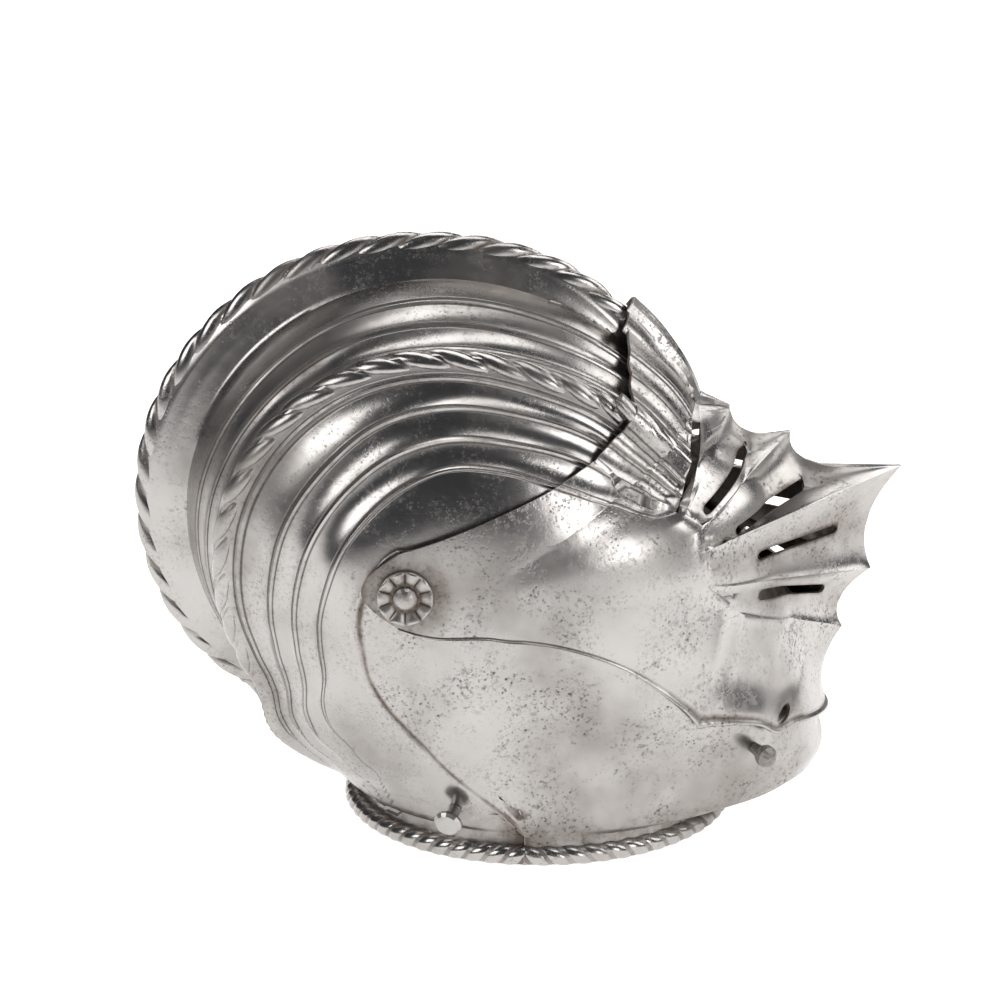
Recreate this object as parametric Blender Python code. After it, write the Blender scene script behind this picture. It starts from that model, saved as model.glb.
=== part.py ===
"""Maximilian close helmet: fluted skull with three combs, bevor and bellows visor.

Metres, +Z up. The helmet faces +X and its plane of symmetry is Y = 0. It stands on its
neck rim at Z = 0, and the visor and the bevor turn on one axis through both sides.
"""
import math

import bpy
import numpy as np

# Driving dimensions of the skull
HALF_WIDTH = 0.0970          # from the plane of symmetry to the skull at its widest
SKULL_RADIUS = 0.1340        # section hub to the bowl, before the shares of SECTION
FACE_REACH = 0.1560          # section hub to the front of the plain face form
COMB_HEIGHT = 0.0270         # middle comb above the bowl where it is tallest
COMB_HALF = 0.0042           # half thickness of the comb's web
COMB_FLARE = 0.0140          # how far the web spreads towards its foot
COMB_FILLET = 0.0140         # softness of the corner between comb and bowl
ROPE_RADIUS = 0.0052         # half thickness of the roped edge on the comb
SIDE_COMB_HEIGHT = 0.0050    # side combs above the bowl
FLUTE_DEPTH = 0.0014         # channels between the fluting lines
WALL = 0.0016                # thickness of every plate

# Driving dimensions of the pivots and of the neck
PIVOT_X = -0.0520
PIVOT_Z = 0.1370
HUB_AHEAD = 0.0250           # section hub ahead of the pivot
HUB_BELOW = 0.0050           # section hub below the pivot
NECK_X = 0.0098              # axis of the round neck
NECK_RADIUS = 0.0866         # skull's plate at the neck
NECK_TOP = 0.0140            # height where the neck's wall turns into its rim
NECK_BLEND = 0.0700          # height over which the neck swells into the bowl
RIM_RADIUS = 0.0944          # outside of the roped rim
RIM_ROLL = 0.0050            # radius of the rim's roll
RIM_SPLIT_X = 0.0030         # where the skull's half of the rim meets the bevor's
RIM_GAP = 0.0010             # play between the two halves of the rim

# Driving dimensions of the visor
BEAK_REACH = 0.2360          # pivot to the point of the beak
BEAK_SPAN = 0.1480           # unit of the visor's heights
SLOT_WIDTH = 0.0046          # sights and breaths
TAB_BULGE = 0.0170           # reach of the visor's rounded end behind the pivot
PLEAT_DEPTH = 0.0042         # extra depth of the bellows between two ridges

# Gaps, rivets and studs
PLATE_GAP = 0.0014           # between plates that slide over each other
CHEEK_SLOPE = 0.40           # how fast the hidden cheek of the skull sinks under the bevor
SEAT_GAP = 0.0003            # between fixed pieces
RIVET_RADIUS = 0.0038
RIVET_HEAD_RADIUS = 0.0056
RIVET_HEAD_RISE = 0.0030
BURR_RADIUS = 0.0080
BURR_THICKNESS = 0.0020
BURR_PLAY = 0.0002           # the skull curves away inside the burr
ROSETTE_RADIUS = 0.0130
ROSETTE_THICKNESS = 0.0024
STUD_STEM_RADIUS = 0.0030
STUD_HEAD_RADIUS = 0.0068
STUD_REACH = 0.0130
KNOB_RADIUS = 0.0054
SKULL_STUD = (-0.0297, 0.0253)
BEVOR_STUD = (0.1098, 0.0492)
LOCK_HOLE = (-0.0025, 0.0251)
HOLE_RADIUS = 0.0038         # lock hole at the lower edge of the bevor
CATCH_HOLE = (0.1261, 0.0628)
CATCH_RADIUS = 0.0025        # oval hole at the visor's lower edge
CATCH_STRETCH = 1.6

LAYER = WALL + PLATE_GAP     # each plate lies this far outside the one below it
HUB_X = PIVOT_X + HUB_AHEAD
HUB_Z = PIVOT_Z - HUB_BELOW

FACE_TOP = 32.0              # degrees round the hub where the face's section meets the bowl's
BOWL_POWER = 2.2             # fullness of the bowl: 2 is an ellipsoid
PIVOT_FLAT = 0.0011          # how far the sides are flattened at the pivot
PIVOT_CURVE = 1.6            # drop of the flattened sides per metre squared
PIVOT_ROUND = (0.012, 0.052) # distances from the pivot over which the flat meets the bowl
NECK_NARROWER = 0.0030       # neck's upper sections inside the bowl's width
COMB_FOOT_REACH = 0.0100     # how far the comb's flank runs into the bowl
COMB_GROWTH = 2.2            # comb height in rope radii at which the comb is full

# Section of the plain form in the plane of symmetry: degrees round the hub from +X
# towards +Z, and the radius as a share of FACE_REACH up to FACE_TOP, else of SKULL_RADIUS
FACE_SECTION = [
    (-43.4, 1.100), (-41.5, 1.122), (-37.9, 1.194), (-34.3, 1.262), (-32.3, 1.283),
    (-30.2, 1.280), (-28.1, 1.245), (-22.4, 1.160), (-17.0, 1.110), (-11.0, 1.055),
    (-2.5, 1.000), (6.7, 0.982), (14.4, 0.955), (25.3, 0.853), (FACE_TOP, 0.808),
]
BOWL_SECTION = [
    (FACE_TOP, 0.940), (39.0, 0.948), (46.6, 0.945), (71.0, 0.955), (101.0, 0.995), (119.0, 1.015),
    (141.0, 1.022), (162.0, 1.008), (178.0, 0.972), (190.0, 0.937), (202.0, 0.905),
    (215.0, 0.903), (221.0, 0.945), (230.0, 0.954), (237.0, 0.938), (242.6, 0.957),
    (246.5, 0.962), (256.0, 1.150), (270.0, 1.450), (290.0, 1.700),
]
# Height of the middle comb above the bowl, as a share of COMB_HEIGHT
COMB_RISE = [
    (30.0, 0.12), (32.8, 0.144), (38.4, 0.226), (43.7, 0.32), (49.4, 0.422), (56.4, 0.504),
    (60.2, 0.567), (70.3, 0.704), (80.0, 0.755), (89.6, 0.770),
    (107.7, 0.85), (125.5, 0.94), (142.6, 0.99), (152.0, 1.00), (169.4, 0.985),
    (186.9, 0.91), (195.6, 0.83), (203.9, 0.68), (212.2, 0.43), (220.0, 0.10),
    (226.0, 0.0), (290.0, 0.0),
]
# Fluting lines as shares of the bowl's radius; columns: degrees, line 7 (innermost),
# line 6, line 5, foot of the side comb, its top, line 4, line 3, line 2
FLUTES = [
    (15.0, 0.70, 0.740, 0.775, 0.805, 0.840, 0.882, 0.922, 0.958),
    (28.0, 0.625, 0.712, 0.763, 0.808, 0.848, 0.893, 0.935, 0.968),
    (45.0, 0.555, 0.665, 0.745, 0.803, 0.847, 0.895, 0.940, 0.975),
    (70.0, 0.50, 0.595, 0.69, 0.765, 0.812, 0.860, 0.915, 0.965),
    (95.0, 0.47, 0.565, 0.665, 0.757, 0.803, 0.842, 0.905, 0.960),
    (115.0, 0.44, 0.543, 0.650, 0.760, 0.807, 0.845, 0.900, 0.955),
    (135.0, 0.425, 0.528, 0.627, 0.765, 0.812, 0.850, 0.893, 0.947),
    (155.0, 0.435, 0.537, 0.635, 0.775, 0.822, 0.860, 0.900, 0.947),
    (175.0, 0.47, 0.575, 0.668, 0.800, 0.847, 0.885, 0.922, 0.960),
    (195.0, 0.55, 0.650, 0.740, 0.850, 0.893, 0.925, 0.952, 0.976),
    (215.0, 0.645, 0.745, 0.825, 0.895, 0.930, 0.950, 0.968, 0.984),
    (235.0, 0.760, 0.830, 0.885, 0.925, 0.945, 0.960, 0.975, 0.988),
    (290.0, 0.760, 0.830, 0.885, 0.925, 0.945, 0.960, 0.975, 0.988),
]
LINE_STEP = 0.0015           # least spacing of the fluting lines where they crowd together
HUB_OPENING = 0.0120         # round corner of the face opening at the hub
BROW_ANGLE = 38.0            # brow edge of the skull, hidden under the visor
FLUTE_END = (222.0, 243.0)   # degrees over which the flutes die out at the nape

# Rear edge of the bevor round the pivot: degrees, share of SKULL_RADIUS
BEVOR_EDGE = [
    (-260.0, 0.160), (-218.0, 0.135), (-186.0, 0.149), (-152.0, 0.197), (-125.4, 0.270),
    (-110.0, 0.369), (-97.0, 0.469), (-85.3, 0.572), (-79.8, 0.654), (-73.6, 0.776),
    (-68.7, 0.891), (-67.0, 0.955),
]
# Upper edge of the bevor under the visor, round the pivot: degrees, share of FACE_REACH
BEVOR_TOP = [
    (78.0, 0.138), (55.0, 0.165), (30.0, 0.308), (14.0, 0.487), (5.0, 0.679), (-1.0, 0.833),
    (-6.5, 1.040),
]
CHIN_ANGLES = (-12.0, -43.4)  # section between the bevor's upper edge and the throat

# Edges of the visor's sides from the pivot: along as a share of BEAK_REACH, up as a
# share of BEAK_SPAN
VISOR_LOW = [
    (-0.011, -0.105), (0.047, -0.135), (0.184, -0.143), (0.301, -0.176),
    (0.420, -0.259), (0.500, -0.358), (0.574, -0.480),
]
VISOR_TOP = [
    (-0.011, 0.136), (0.030, 0.155), (0.106, 0.196), (0.182, 0.240),
    (0.252, 0.283), (0.301, 0.320),
]
# Front of the lower edge: share of the way from the last point above to the keel, drop
# as a share of BEAK_SPAN below the straight line
VISOR_LOW_FRONT = [
    (0.0, 0.0), (0.18, -0.022), (0.34, -0.028), (0.46, -0.022), (0.57, 0.006), (0.70, -0.014),
    (0.86, -0.010), (1.0, 0.0),
]
# Brow edges round the hub: degrees, share of the visor's crest radius
BROW_TOP = [
    (45.4, 0.640), (45.2, 0.700), (44.6, 0.780), (46.5, 0.815), (50.4, 0.865),
    (53.5, 0.910), (55.8, 0.950), (56.8, 0.975), (56.2, 1.0),
]
BROW_LOW = [
    (19.0, 0.640), (20.0, 0.720), (22.5, 0.780), (25.0, 0.830), (27.5, 0.880),
    (30.0, 0.930), (31.5, 0.965), (32.5, 1.0),
]
# Ridges of the bellows from the lowest up, from the pivot in the shares of the edges:
# foot along and up, spike along and up, pull on the keel above it along and up, place
# between the lower and the upper edge of the sides, and share that lies on the beak's body
RIDGES = [
    (0.619, -0.108, 0.886, -0.328, 0.847, -0.232, 0.34, 0.93),
    (0.576, -0.027, 0.942, -0.128, 0.894, 0.035, 0.44, 0.905),
    (0.568, 0.080, 1.0075, 0.220, 0.754, 0.182, 0.54, 0.69),
    (0.566, 0.146, 0.772, 0.338, 0.654, 0.293, 0.62, 0.80),
    (0.536, 0.176, 0.648, 0.424, 0.640, 0.430, 0.68, 0.88),
]
CHEEK_LEAN = 0.67            # slope of the cheeks where the bellows start
KEEL_LEAN = 0.60             # slope of the bellows at the keel, in half widths of the foot
SPIKE_WIDTH = 0.26           # half width of the spikes for each unit of their length
SPIKE_FILLET = 0.0080        # softness of the corner between a spike and the beak's body
# Slots between those ridges: rear end along and up, front end along and up
SLOTS = [
    (0.699, -0.104, 0.844, -0.177),
    (0.697, 0.017, 0.867, 0.034),
    (0.650, 0.118, 0.798, 0.179),
    (0.585, 0.199, 0.680, 0.297),
]
SIGHT_PLACES = (0.72, 0.76)  # places of the sight's two edges between the sides' edges
BROW_FOOT = (0.72, 0.64)     # where the brow leaves the smooth sides, lowest and top row
LOW_KEEL_PULL = (0.824, -0.470)  # pull on the keel below the lowest ridge, along and up
LOW_KEEL = (0.861, -0.596)   # front end of the visor's lower edge

# Fineness of the faceted plates
SKULL_RAYS = 24
RIM_RAYS = 7
BEVOR_COLUMNS = 12
VISOR_LOW_ROWS = 4
VISOR_BROW_ROWS = 5
VISOR_SIDE_COLUMNS = 7
COLLAR_STEPS = 5
ROUND = 16
SHARP_ANGLE = math.radians(35)

STEEL = (0.46, 0.44, 0.42, 1.0)


def smooth_table(rows, at, column=1):
    """Value of a table at given places, eased so that the curve has no corners."""
    xs = np.array([row[0] for row in rows], float)
    ys = np.array([row[column] for row in rows], float)
    slope = np.gradient(ys, xs)
    spot = np.clip(at, xs[0], xs[-1])
    i = np.clip(np.searchsorted(xs, spot, side="right") - 1, 0, len(xs) - 2)
    span = xs[i + 1] - xs[i]
    f = (spot - xs[i]) / span
    return (ys[i] * (1 + 2 * f) * (1 - f) ** 2 + slope[i] * span * f * (1 - f) ** 2
            + ys[i + 1] * f * f * (3 - 2 * f) + slope[i + 1] * span * f * f * (f - 1))


def ease(f):
    """Smooth step from 0 to 1."""
    f = np.clip(f, 0.0, 1.0)
    return f * f * (3 - 2 * f)


def smooth_max(a, b, soft):
    """Larger of two widths with a fillet where they differ by less than soft."""
    return np.maximum(a, b) + np.maximum(0.0, soft - np.abs(a - b)) ** 2 / (4 * soft)


def hub_polar(x, z):
    """Degrees (-90 to 270) and distance of a point round the section hub."""
    dx = x - HUB_X
    dz = z - HUB_Z
    angle = np.degrees(np.arctan2(dz, dx))
    return np.where(angle < -90, angle + 360, angle), np.hypot(dx, dz)


def bowl_radius(angle):
    """Hub to the plain section, or to a smooth continuation of it below the neck."""
    face = FACE_REACH * smooth_table(FACE_SECTION, angle)
    bowl = SKULL_RADIUS * smooth_table(BOWL_SECTION, angle)
    mixed = np.where(angle < FACE_TOP, face, bowl)
    lowest, share = FACE_SECTION[0]
    first = FACE_REACH * share
    last = SKULL_RADIUS * smooth_table(BOWL_SECTION, np.array(270.0))
    below = first + (last - first) * ease((lowest - angle) / (90 + lowest))
    return np.where(angle < lowest, below, mixed)


def section_points(rows, size):
    """Points of a section table in the plane of symmetry."""
    angle = np.radians([row[0] for row in rows])
    radius = size * np.array([row[1] for row in rows])
    return HUB_X + radius * np.cos(angle), HUB_Z + radius * np.sin(angle)


def plain_half_width(x, z):
    """Half width of the plain helmet form: an oval bowl blended into a round neck."""
    angle, reach = hub_polar(x, z)
    share = reach / bowl_radius(angle)
    bowl = HALF_WIDTH * np.sqrt(np.maximum(0.0, 1 - share ** BOWL_POWER))
    from_pivot = np.hypot(x - PIVOT_X, z - PIVOT_Z)
    flat = HALF_WIDTH - PIVOT_FLAT - PIVOT_CURVE * from_pivot ** 2
    near, far = PIVOT_ROUND
    bowl = flat + (bowl - flat) * ease((from_pivot - near) / (far - near))
    rear_x, rear_z = section_points(BOWL_SECTION[-11:-3], SKULL_RADIUS)
    front_x, front_z = section_points(FACE_SECTION[:10], FACE_REACH)
    blend = ease((z - NECK_TOP) / NECK_BLEND)
    centre = NECK_X + (HUB_X - NECK_X) * blend
    rear = centre - np.interp(z, rear_z[::-1], rear_x[::-1])
    front = np.interp(z, front_z, front_x) - centre
    rear = np.where(z < rear_z[-1] + 0.001, NECK_RADIUS, rear)
    front = np.where(z < front_z[0] + 0.001, NECK_RADIUS, front)
    across = np.where(x < centre, centre - x, x - centre) / np.where(x < centre, rear, front)
    widest = NECK_RADIUS + (HALF_WIDTH - NECK_NARROWER - NECK_RADIUS) * blend
    neck = widest * np.sqrt(np.maximum(0.0, 1 - np.abs(across) ** (2 + 0.4 * blend)))
    return neck * (1 - blend) + bowl * blend


def comb_rise(angle):
    """Height of the middle comb above the bowl."""
    return COMB_HEIGHT * np.maximum(0.0, smooth_table(COMB_RISE, angle))


def skull_half_width(x, z):
    """Plain form with the middle comb and its round edge grown out of it."""
    angle, reach = hub_polar(x, z)
    rise = comb_rise(angle)
    crest = bowl_radius(angle) + rise
    grown = ease(rise / (COMB_GROWTH * ROPE_RADIUS))
    rope = ROPE_RADIUS * grown
    foot = np.clip((crest - rope - reach) / (rise + COMB_FOOT_REACH), 0, 1)
    web = COMB_HALF * grown + COMB_FLARE * foot ** 2 * grown
    plain = plain_half_width(x, z)
    body = smooth_max(plain, web, COMB_FILLET)
    body = np.where(reach > crest - rope, 0.0, body)
    edge = np.sqrt(np.maximum(0.0, rope ** 2 - (reach - (crest - rope)) ** 2))
    return np.where(rise > 1e-5, np.maximum(body, edge), plain)


def flute_lift(angle, share):
    """Lift of the surface by the flutes and side combs: cusped channels between lines."""
    lines = [smooth_table(FLUTES, angle, column) for column in range(1, 9)]
    fade = 1 - ease((angle - FLUTE_END[0]) / (FLUTE_END[1] - FLUTE_END[0]))
    lift = np.zeros_like(share)
    for inner, outer, depth in ((0, 1, 1.0), (1, 2, 1.0), (2, 3, 1.5), (5, 6, 1.0), (6, 7, 0.9)):
        f = (share - lines[inner]) / (lines[outer] - lines[inner])
        inside = (f > 0) & (f < 1)
        lift = np.where(inside, -FLUTE_DEPTH * depth * 4 * f * (1 - f), lift)
    up = ease((share - lines[3]) / (lines[4] - lines[3]))
    down = 1 - ease((share - lines[4]) / (lines[5] - lines[4]))
    lift = lift + SIDE_COMB_HEIGHT * np.minimum(up, down)
    return lift * fade


def grid_normals(grid):
    """Unit normals of a grid of points, by central differences."""
    across = np.cross(np.gradient(grid, axis=0), np.gradient(grid, axis=1))
    length = np.linalg.norm(across, axis=2, keepdims=True)
    return across / np.maximum(length, 1e-12)


def mirrored(points):
    """The same points on the other side of the plane of symmetry."""
    return points * np.array([1.0, -1.0, 1.0])


class Plate:
    """A sheet of quads with an outer and an inner face, closed round every edge."""

    def __init__(self):
        self.outer = []
        self.inner = []
        self.quads = []

    def add_points(self, outer, inner):
        """Adds a grid of points and returns their numbers."""
        start = sum(len(block) for block in self.outer)
        shape = outer.shape[:2]
        self.outer.append(outer.reshape(-1, 3))
        self.inner.append(inner.reshape(-1, 3))
        return start + np.arange(shape[0] * shape[1]).reshape(shape)

    def add_quads(self, numbers, flip, keep=None):
        """Adds the quads of a grid of point numbers, less those that keep leaves out."""
        corners = [numbers[:-1, :-1], numbers[1:, :-1], numbers[1:, 1:], numbers[:-1, 1:]]
        if flip:
            corners.reverse()
        quads = np.stack(corners, axis=-1)
        quads = quads[keep] if keep is not None else quads.reshape(-1, 4)
        self.quads.append(quads)

    def build(self, name):
        """Joins both faces with walls along the open edges into one closed mesh."""
        outer = np.concatenate(self.outer)
        inner = np.concatenate(self.inner)
        quads = np.concatenate(self.quads)
        count = len(outer)
        edges = np.concatenate([quads[:, [i, (i + 1) % 4]] for i in range(4)])
        edges = edges[edges[:, 0] != edges[:, 1]]
        low = edges.min(axis=1) * count + edges.max(axis=1)
        _, first, number = np.unique(low, return_index=True, return_counts=True)
        rim = edges[first[number == 1]]
        walls = np.stack([rim[:, 1], rim[:, 0], rim[:, 0] + count, rim[:, 1] + count], axis=1)
        faces = np.concatenate([quads, quads[:, ::-1] + count, walls])
        mesh = bpy.data.meshes.new(name)
        points = np.concatenate([outer, inner])
        used, compact = np.unique(faces, return_inverse=True)
        faces = compact.reshape(faces.shape)
        rows = [list(dict.fromkeys(face)) for face in faces.tolist()]
        mesh.from_pydata(points[used].tolist(), [], [row for row in rows if len(row) > 2])
        mesh.validate()
        return mesh


def steel(name, roughness):
    """Polished steel of one piece."""
    material = bpy.data.materials.new(name)
    material.use_nodes = True
    shader = material.node_tree.nodes["Principled BSDF"]
    shader.inputs["Base Color"].default_value = STEEL
    shader.inputs["Metallic"].default_value = 1.0
    shader.inputs["Roughness"].default_value = roughness
    return material


def place(name, mesh, roughness, origin=(0.0, 0.0, 0.0)):
    """Puts a mesh made in world places into the scene, with its origin where asked."""
    piece = bpy.data.objects.new(name, mesh)
    bpy.context.collection.objects.link(piece)
    piece.location = origin
    for vertex in mesh.vertices:
        vertex.co -= piece.location
    mesh.materials.append(steel(name, roughness))
    mesh.shade_smooth()
    mesh.set_sharp_from_angle(angle=SHARP_ANGLE)
    return piece


def collar_profile(wall_radius):
    """Outer and inner line of the neck's rim as radius and height, top to bottom."""
    centre = RIM_RADIUS - RIM_ROLL
    first = math.acos(max(-0.9, min(0.9, (wall_radius + 0.0006 - centre) / RIM_ROLL)))
    turn = np.linspace(first, -math.pi / 2, COLLAR_STEPS + 1)
    outer = np.stack([centre + RIM_ROLL * np.cos(turn), RIM_ROLL + RIM_ROLL * np.sin(turn)], 1)
    inner = np.stack([np.full(len(turn), wall_radius - WALL),
                      NECK_TOP * (1 - np.arange(1, len(turn) + 1) / len(turn))], 1)
    return outer, inner


def turned(line, turn):
    """A line of radius and height carried round the neck's axis by the given angles."""
    radius = line[None, :, 0]
    return np.stack([NECK_X + radius * np.cos(turn)[:, None],
                     radius * np.sin(turn)[:, None],
                     np.broadcast_to(line[None, :, 1], (len(turn), len(line)))], axis=-1)


def add_collar(plate, top_numbers, wall_radius, flip):
    """Carries a row of plate points down the rim's profile round the neck's axis."""
    top = np.concatenate(plate.outer)[top_numbers]
    turn = np.arctan2(top[:, 1], top[:, 0] - NECK_X)
    outer_line, inner_line = collar_profile(wall_radius)
    numbers = plate.add_points(turned(outer_line, turn), turned(inner_line, turn))
    plate.add_quads(np.concatenate([top_numbers[:, None], numbers], axis=1), flip)


def rear_edge_by_height():
    """Heights and places of the bevor's rear edge, from the neck up to the pivot."""
    angle = np.radians([row[0] for row in BEVOR_EDGE[2:]])
    radius = SKULL_RADIUS * np.array([row[1] for row in BEVOR_EDGE[2:]])
    x = PIVOT_X + radius * np.cos(angle)
    z = PIVOT_Z + radius * np.sin(angle)
    return z[::-1], x[::-1]


def skull_sink(x, z):
    """How far the hidden cheek of the skull lies inside the plain form."""
    inside = x - np.interp(z, *rear_edge_by_height())
    reach = np.hypot(x - PIVOT_X, z - PIVOT_Z)
    below = 1 - ease((z - PIVOT_Z) / TAB_BULGE)
    return CHEEK_SLOPE * np.maximum(0.0, inside - 0.003) * ease((reach - 0.013) / 0.020) * below


def spaced(stations, steps):
    """Splits the lengths between neighbouring stations into equal steps."""
    parts = [stations[..., :1]]
    for i, count in enumerate(steps):
        f = np.arange(1, count + 1) / count
        low = stations[..., i:i + 1]
        parts.append(low + (stations[..., i + 1:i + 2] - low) * f)
    return np.concatenate(parts, axis=-1)


def crest_stations(angle, crest, first):
    """Distances from the hub of the lines that a ray crosses, out to the crest."""
    bowl = bowl_radius(angle)
    rope = ROPE_RADIUS * ease(comb_rise(angle) / (COMB_GROWTH * ROPE_RADIUS))
    lines = np.stack([smooth_table(FLUTES, angle, column) for column in range(1, 9)], 1)
    foot = crest - np.maximum(np.maximum(0.88 * (crest - bowl), 0.010), 1.95 * rope + 0.004)
    limits = foot[:, None] - LINE_STEP * np.arange(8, 0, -1)
    lines = np.minimum(lines * bowl[:, None], limits)
    ends = np.stack([foot, crest - np.maximum(1.95 * rope, 0.005), crest], 1)
    return np.concatenate([first[:, None], lines, ends], axis=1)


def round_the_crest(reach, count):
    """Spaces the last steps of each ray like a turn, so that the crest comes out round."""
    start = reach[:, -count - 1:-count]
    turn = np.arange(1, count + 1) / count
    reach[:, -count:] = start + (reach[:, -1:] - start) * np.sin(turn * math.pi / 2)
    return reach


def finish_faces(base, middle, lift, offset):
    """Outer and inner face of a plate from its plain grid, flutes and distance out."""
    normal = grid_normals(base)
    normal *= -np.sign(normal[len(base) // 2, 3, 1])
    normal[middle, -1, 1] = 0.0
    length = np.linalg.norm(normal[middle, -1], axis=1)
    normal[middle, -1] /= np.maximum(1e-9, length)[:, None]
    outer = base + normal * (lift + offset)[..., None]
    inner = base + normal * (lift + offset - WALL)[..., None]
    outer[middle, -1, 1] = 0.0
    inner[middle, -1, 1] = 0.0
    return outer, inner


def seat_on_neck(outer, inner, rows, wall_radius):
    """Sets the last points of some rows on the round wall of the neck."""
    for face, radius in ((outer, wall_radius), (inner, wall_radius - WALL)):
        out = face[rows, -1, :2] - np.array([NECK_X, 0.0])
        turn = np.arctan2(out[:, 1], out[:, 0])
        turn = np.where(np.abs(out[:, 1]) < 1e-6, np.where(out[:, 0] > 0, 0.0, -math.pi), turn)
        face[rows, -1, 0] = NECK_X + radius * np.cos(turn)
        face[rows, -1, 1] = np.minimum(0.0, radius * np.sin(turn))
        face[rows, -1, 2] = NECK_TOP


def both_sides(outer, inner, middle, flip, keep=None):
    """A plate from the right half's faces and their mirror image, joined at the middle."""
    plate = Plate()
    right = plate.add_points(outer, inner)
    left = plate.add_points(mirrored(outer), mirrored(inner))
    left[middle, -1] = right[middle, -1]
    plate.add_quads(right, flip, keep)
    plate.add_quads(left, not flip, keep)
    return plate, right, left


def build_skull():
    """Skull: rays from the hub to the comb's crest or to the neck, mirrored."""
    rear = 360 + math.degrees(math.atan2(NECK_TOP - HUB_Z, NECK_X - NECK_RADIUS - HUB_X))
    crest_rays = np.linspace(BROW_ANGLE, rear, SKULL_RAYS)
    bend = np.linspace(0, math.acos((NECK_X - RIM_SPLIT_X) / NECK_RADIUS), RIM_RAYS + 1)[1:]
    rim_x = NECK_X - NECK_RADIUS * np.cos(bend)
    rim_rays = 360 + np.degrees(np.arctan2(NECK_TOP - HUB_Z, rim_x - HUB_X))
    rays = np.concatenate([crest_rays, rim_rays])
    on_rim = np.arange(len(rays)) >= SKULL_RAYS - 1
    floor = (HUB_Z - NECK_TOP) / np.maximum(1e-6, -np.sin(np.radians(rays)))
    crest = np.where(on_rim, floor, bowl_radius(rays) + comb_rise(rays))
    reach = crest_stations(rays, crest, np.full(len(rays), HUB_OPENING))
    reach = round_the_crest(spaced(reach, (3, 1, 2, 2, 1, 1, 2, 1, 1, 2, 3)), 3)
    angle = np.broadcast_to(rays[:, None], reach.shape)
    x = HUB_X + reach * np.cos(np.radians(angle))
    z = HUB_Z + reach * np.sin(np.radians(angle))
    half = skull_half_width(x, z)
    middle = np.arange(len(rays)) < SKULL_RAYS
    half[middle, -1] = 0.0
    half = half - np.minimum(skull_sink(x, z), half)
    lift = flute_lift(angle, reach / bowl_radius(rays)[:, None])
    lift[on_rim] = 0.0
    outer, inner = finish_faces(np.stack([x, -half, z], axis=-1), middle, lift, 0.0)
    seat_on_neck(outer, inner, on_rim, NECK_RADIUS)
    plate, right, left = both_sides(outer, inner, middle, True)
    rim = np.concatenate([right[on_rim, -1][::-1], left[on_rim, -1][1:]])
    add_collar(plate, rim, NECK_RADIUS, False)
    return plate.build("skull")


def build_bevor():
    """Bevor: rays from the pivot's hole to its upper edge, the chin, the neck and the rear."""
    top = np.radians([row[0] for row in BEVOR_TOP])
    top_reach = FACE_REACH * np.array([row[1] for row in BEVOR_TOP])
    top_ends = np.stack([PIVOT_X + top_reach * np.cos(top),
                         PIVOT_Z + top_reach * np.sin(top)], 1)
    chin = np.linspace(CHIN_ANGLES[0], CHIN_ANGLES[1], 10)
    chin_reach = bowl_radius(chin)
    chin_ends = np.stack([HUB_X + chin_reach * np.cos(np.radians(chin)),
                          HUB_Z + chin_reach * np.sin(np.radians(chin))], 1)
    chin_ends[-1] = (NECK_X + NECK_RADIUS, NECK_TOP)
    split = RIM_SPLIT_X + RIM_GAP
    turn = np.linspace(0, math.acos((split - NECK_X) / NECK_RADIUS), 9)[1:]
    neck_ends = np.stack([NECK_X + NECK_RADIUS * np.cos(turn), np.full(8, NECK_TOP)], 1)
    edge = np.radians([row[0] for row in BEVOR_EDGE][::-1])
    edge_reach = SKULL_RADIUS * np.array([row[1] for row in BEVOR_EDGE][::-1])
    edge_ends = np.stack([PIVOT_X + edge_reach * np.cos(edge),
                          PIVOT_Z + edge_reach * np.sin(edge)], 1)
    ends = np.concatenate([top_ends, chin_ends, neck_ends, edge_ends])
    rows = np.arange(len(ends))
    chin_from = len(top_ends)
    neck_from = chin_from + len(chin_ends) - 1
    neck_to = chin_from + len(chin_ends) + len(neck_ends)
    middle = (rows >= chin_from) & (rows <= neck_from)
    on_neck = (rows >= neck_from) & (rows < neck_to)
    out = ends - np.array([PIVOT_X, PIVOT_Z])
    length = np.linalg.norm(out, axis=1)
    crowd = np.where(middle, 2.0, 1.0)
    crowd[on_neck] = np.linspace(2.0, 1.2, on_neck.sum())
    share = 1 - (1 - np.linspace(0, 1, BEVOR_COLUMNS + 1))[None, :] ** crowd[:, None]
    start = RIVET_RADIUS + SEAT_GAP
    reach = start + (length[:, None] - start) * share
    x = PIVOT_X + out[:, :1] / length[:, None] * reach
    z = PIVOT_Z + out[:, 1:] / length[:, None] * reach
    half = plain_half_width(x, z)
    half[middle, -1] = 0.0
    base = np.stack([x, -half, z], axis=-1)
    wrapped = np.concatenate([base[-1:], base, base[:1]])
    flags = np.concatenate([[False], middle, [False]])
    outer, inner = finish_faces(wrapped, flags, np.zeros(wrapped.shape[:2]), LAYER)
    outer = outer[1:-1]
    inner = inner[1:-1]
    seat_on_neck(outer, inner, on_neck, NECK_RADIUS + LAYER)
    plate = Plate()
    right = plate.add_points(outer, inner)
    left = plate.add_points(mirrored(outer), mirrored(inner))
    left[middle, -1] = right[middle, -1]
    for numbers, flip in ((right, False), (left, True)):
        plate.add_quads(np.concatenate([numbers, numbers[:1]]), flip)
    rim = np.concatenate([right[on_neck, -1][::-1], left[on_neck, -1][1:]])
    add_collar(plate, rim, NECK_RADIUS + LAYER, True)
    return plate.build("bevor")


def from_pivot(along, up):
    """A point of the plane of symmetry from the visor's shares."""
    return np.stack([PIVOT_X + BEAK_REACH * np.asarray(along),
                     PIVOT_Z + BEAK_SPAN * np.asarray(up)], axis=-1)


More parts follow.
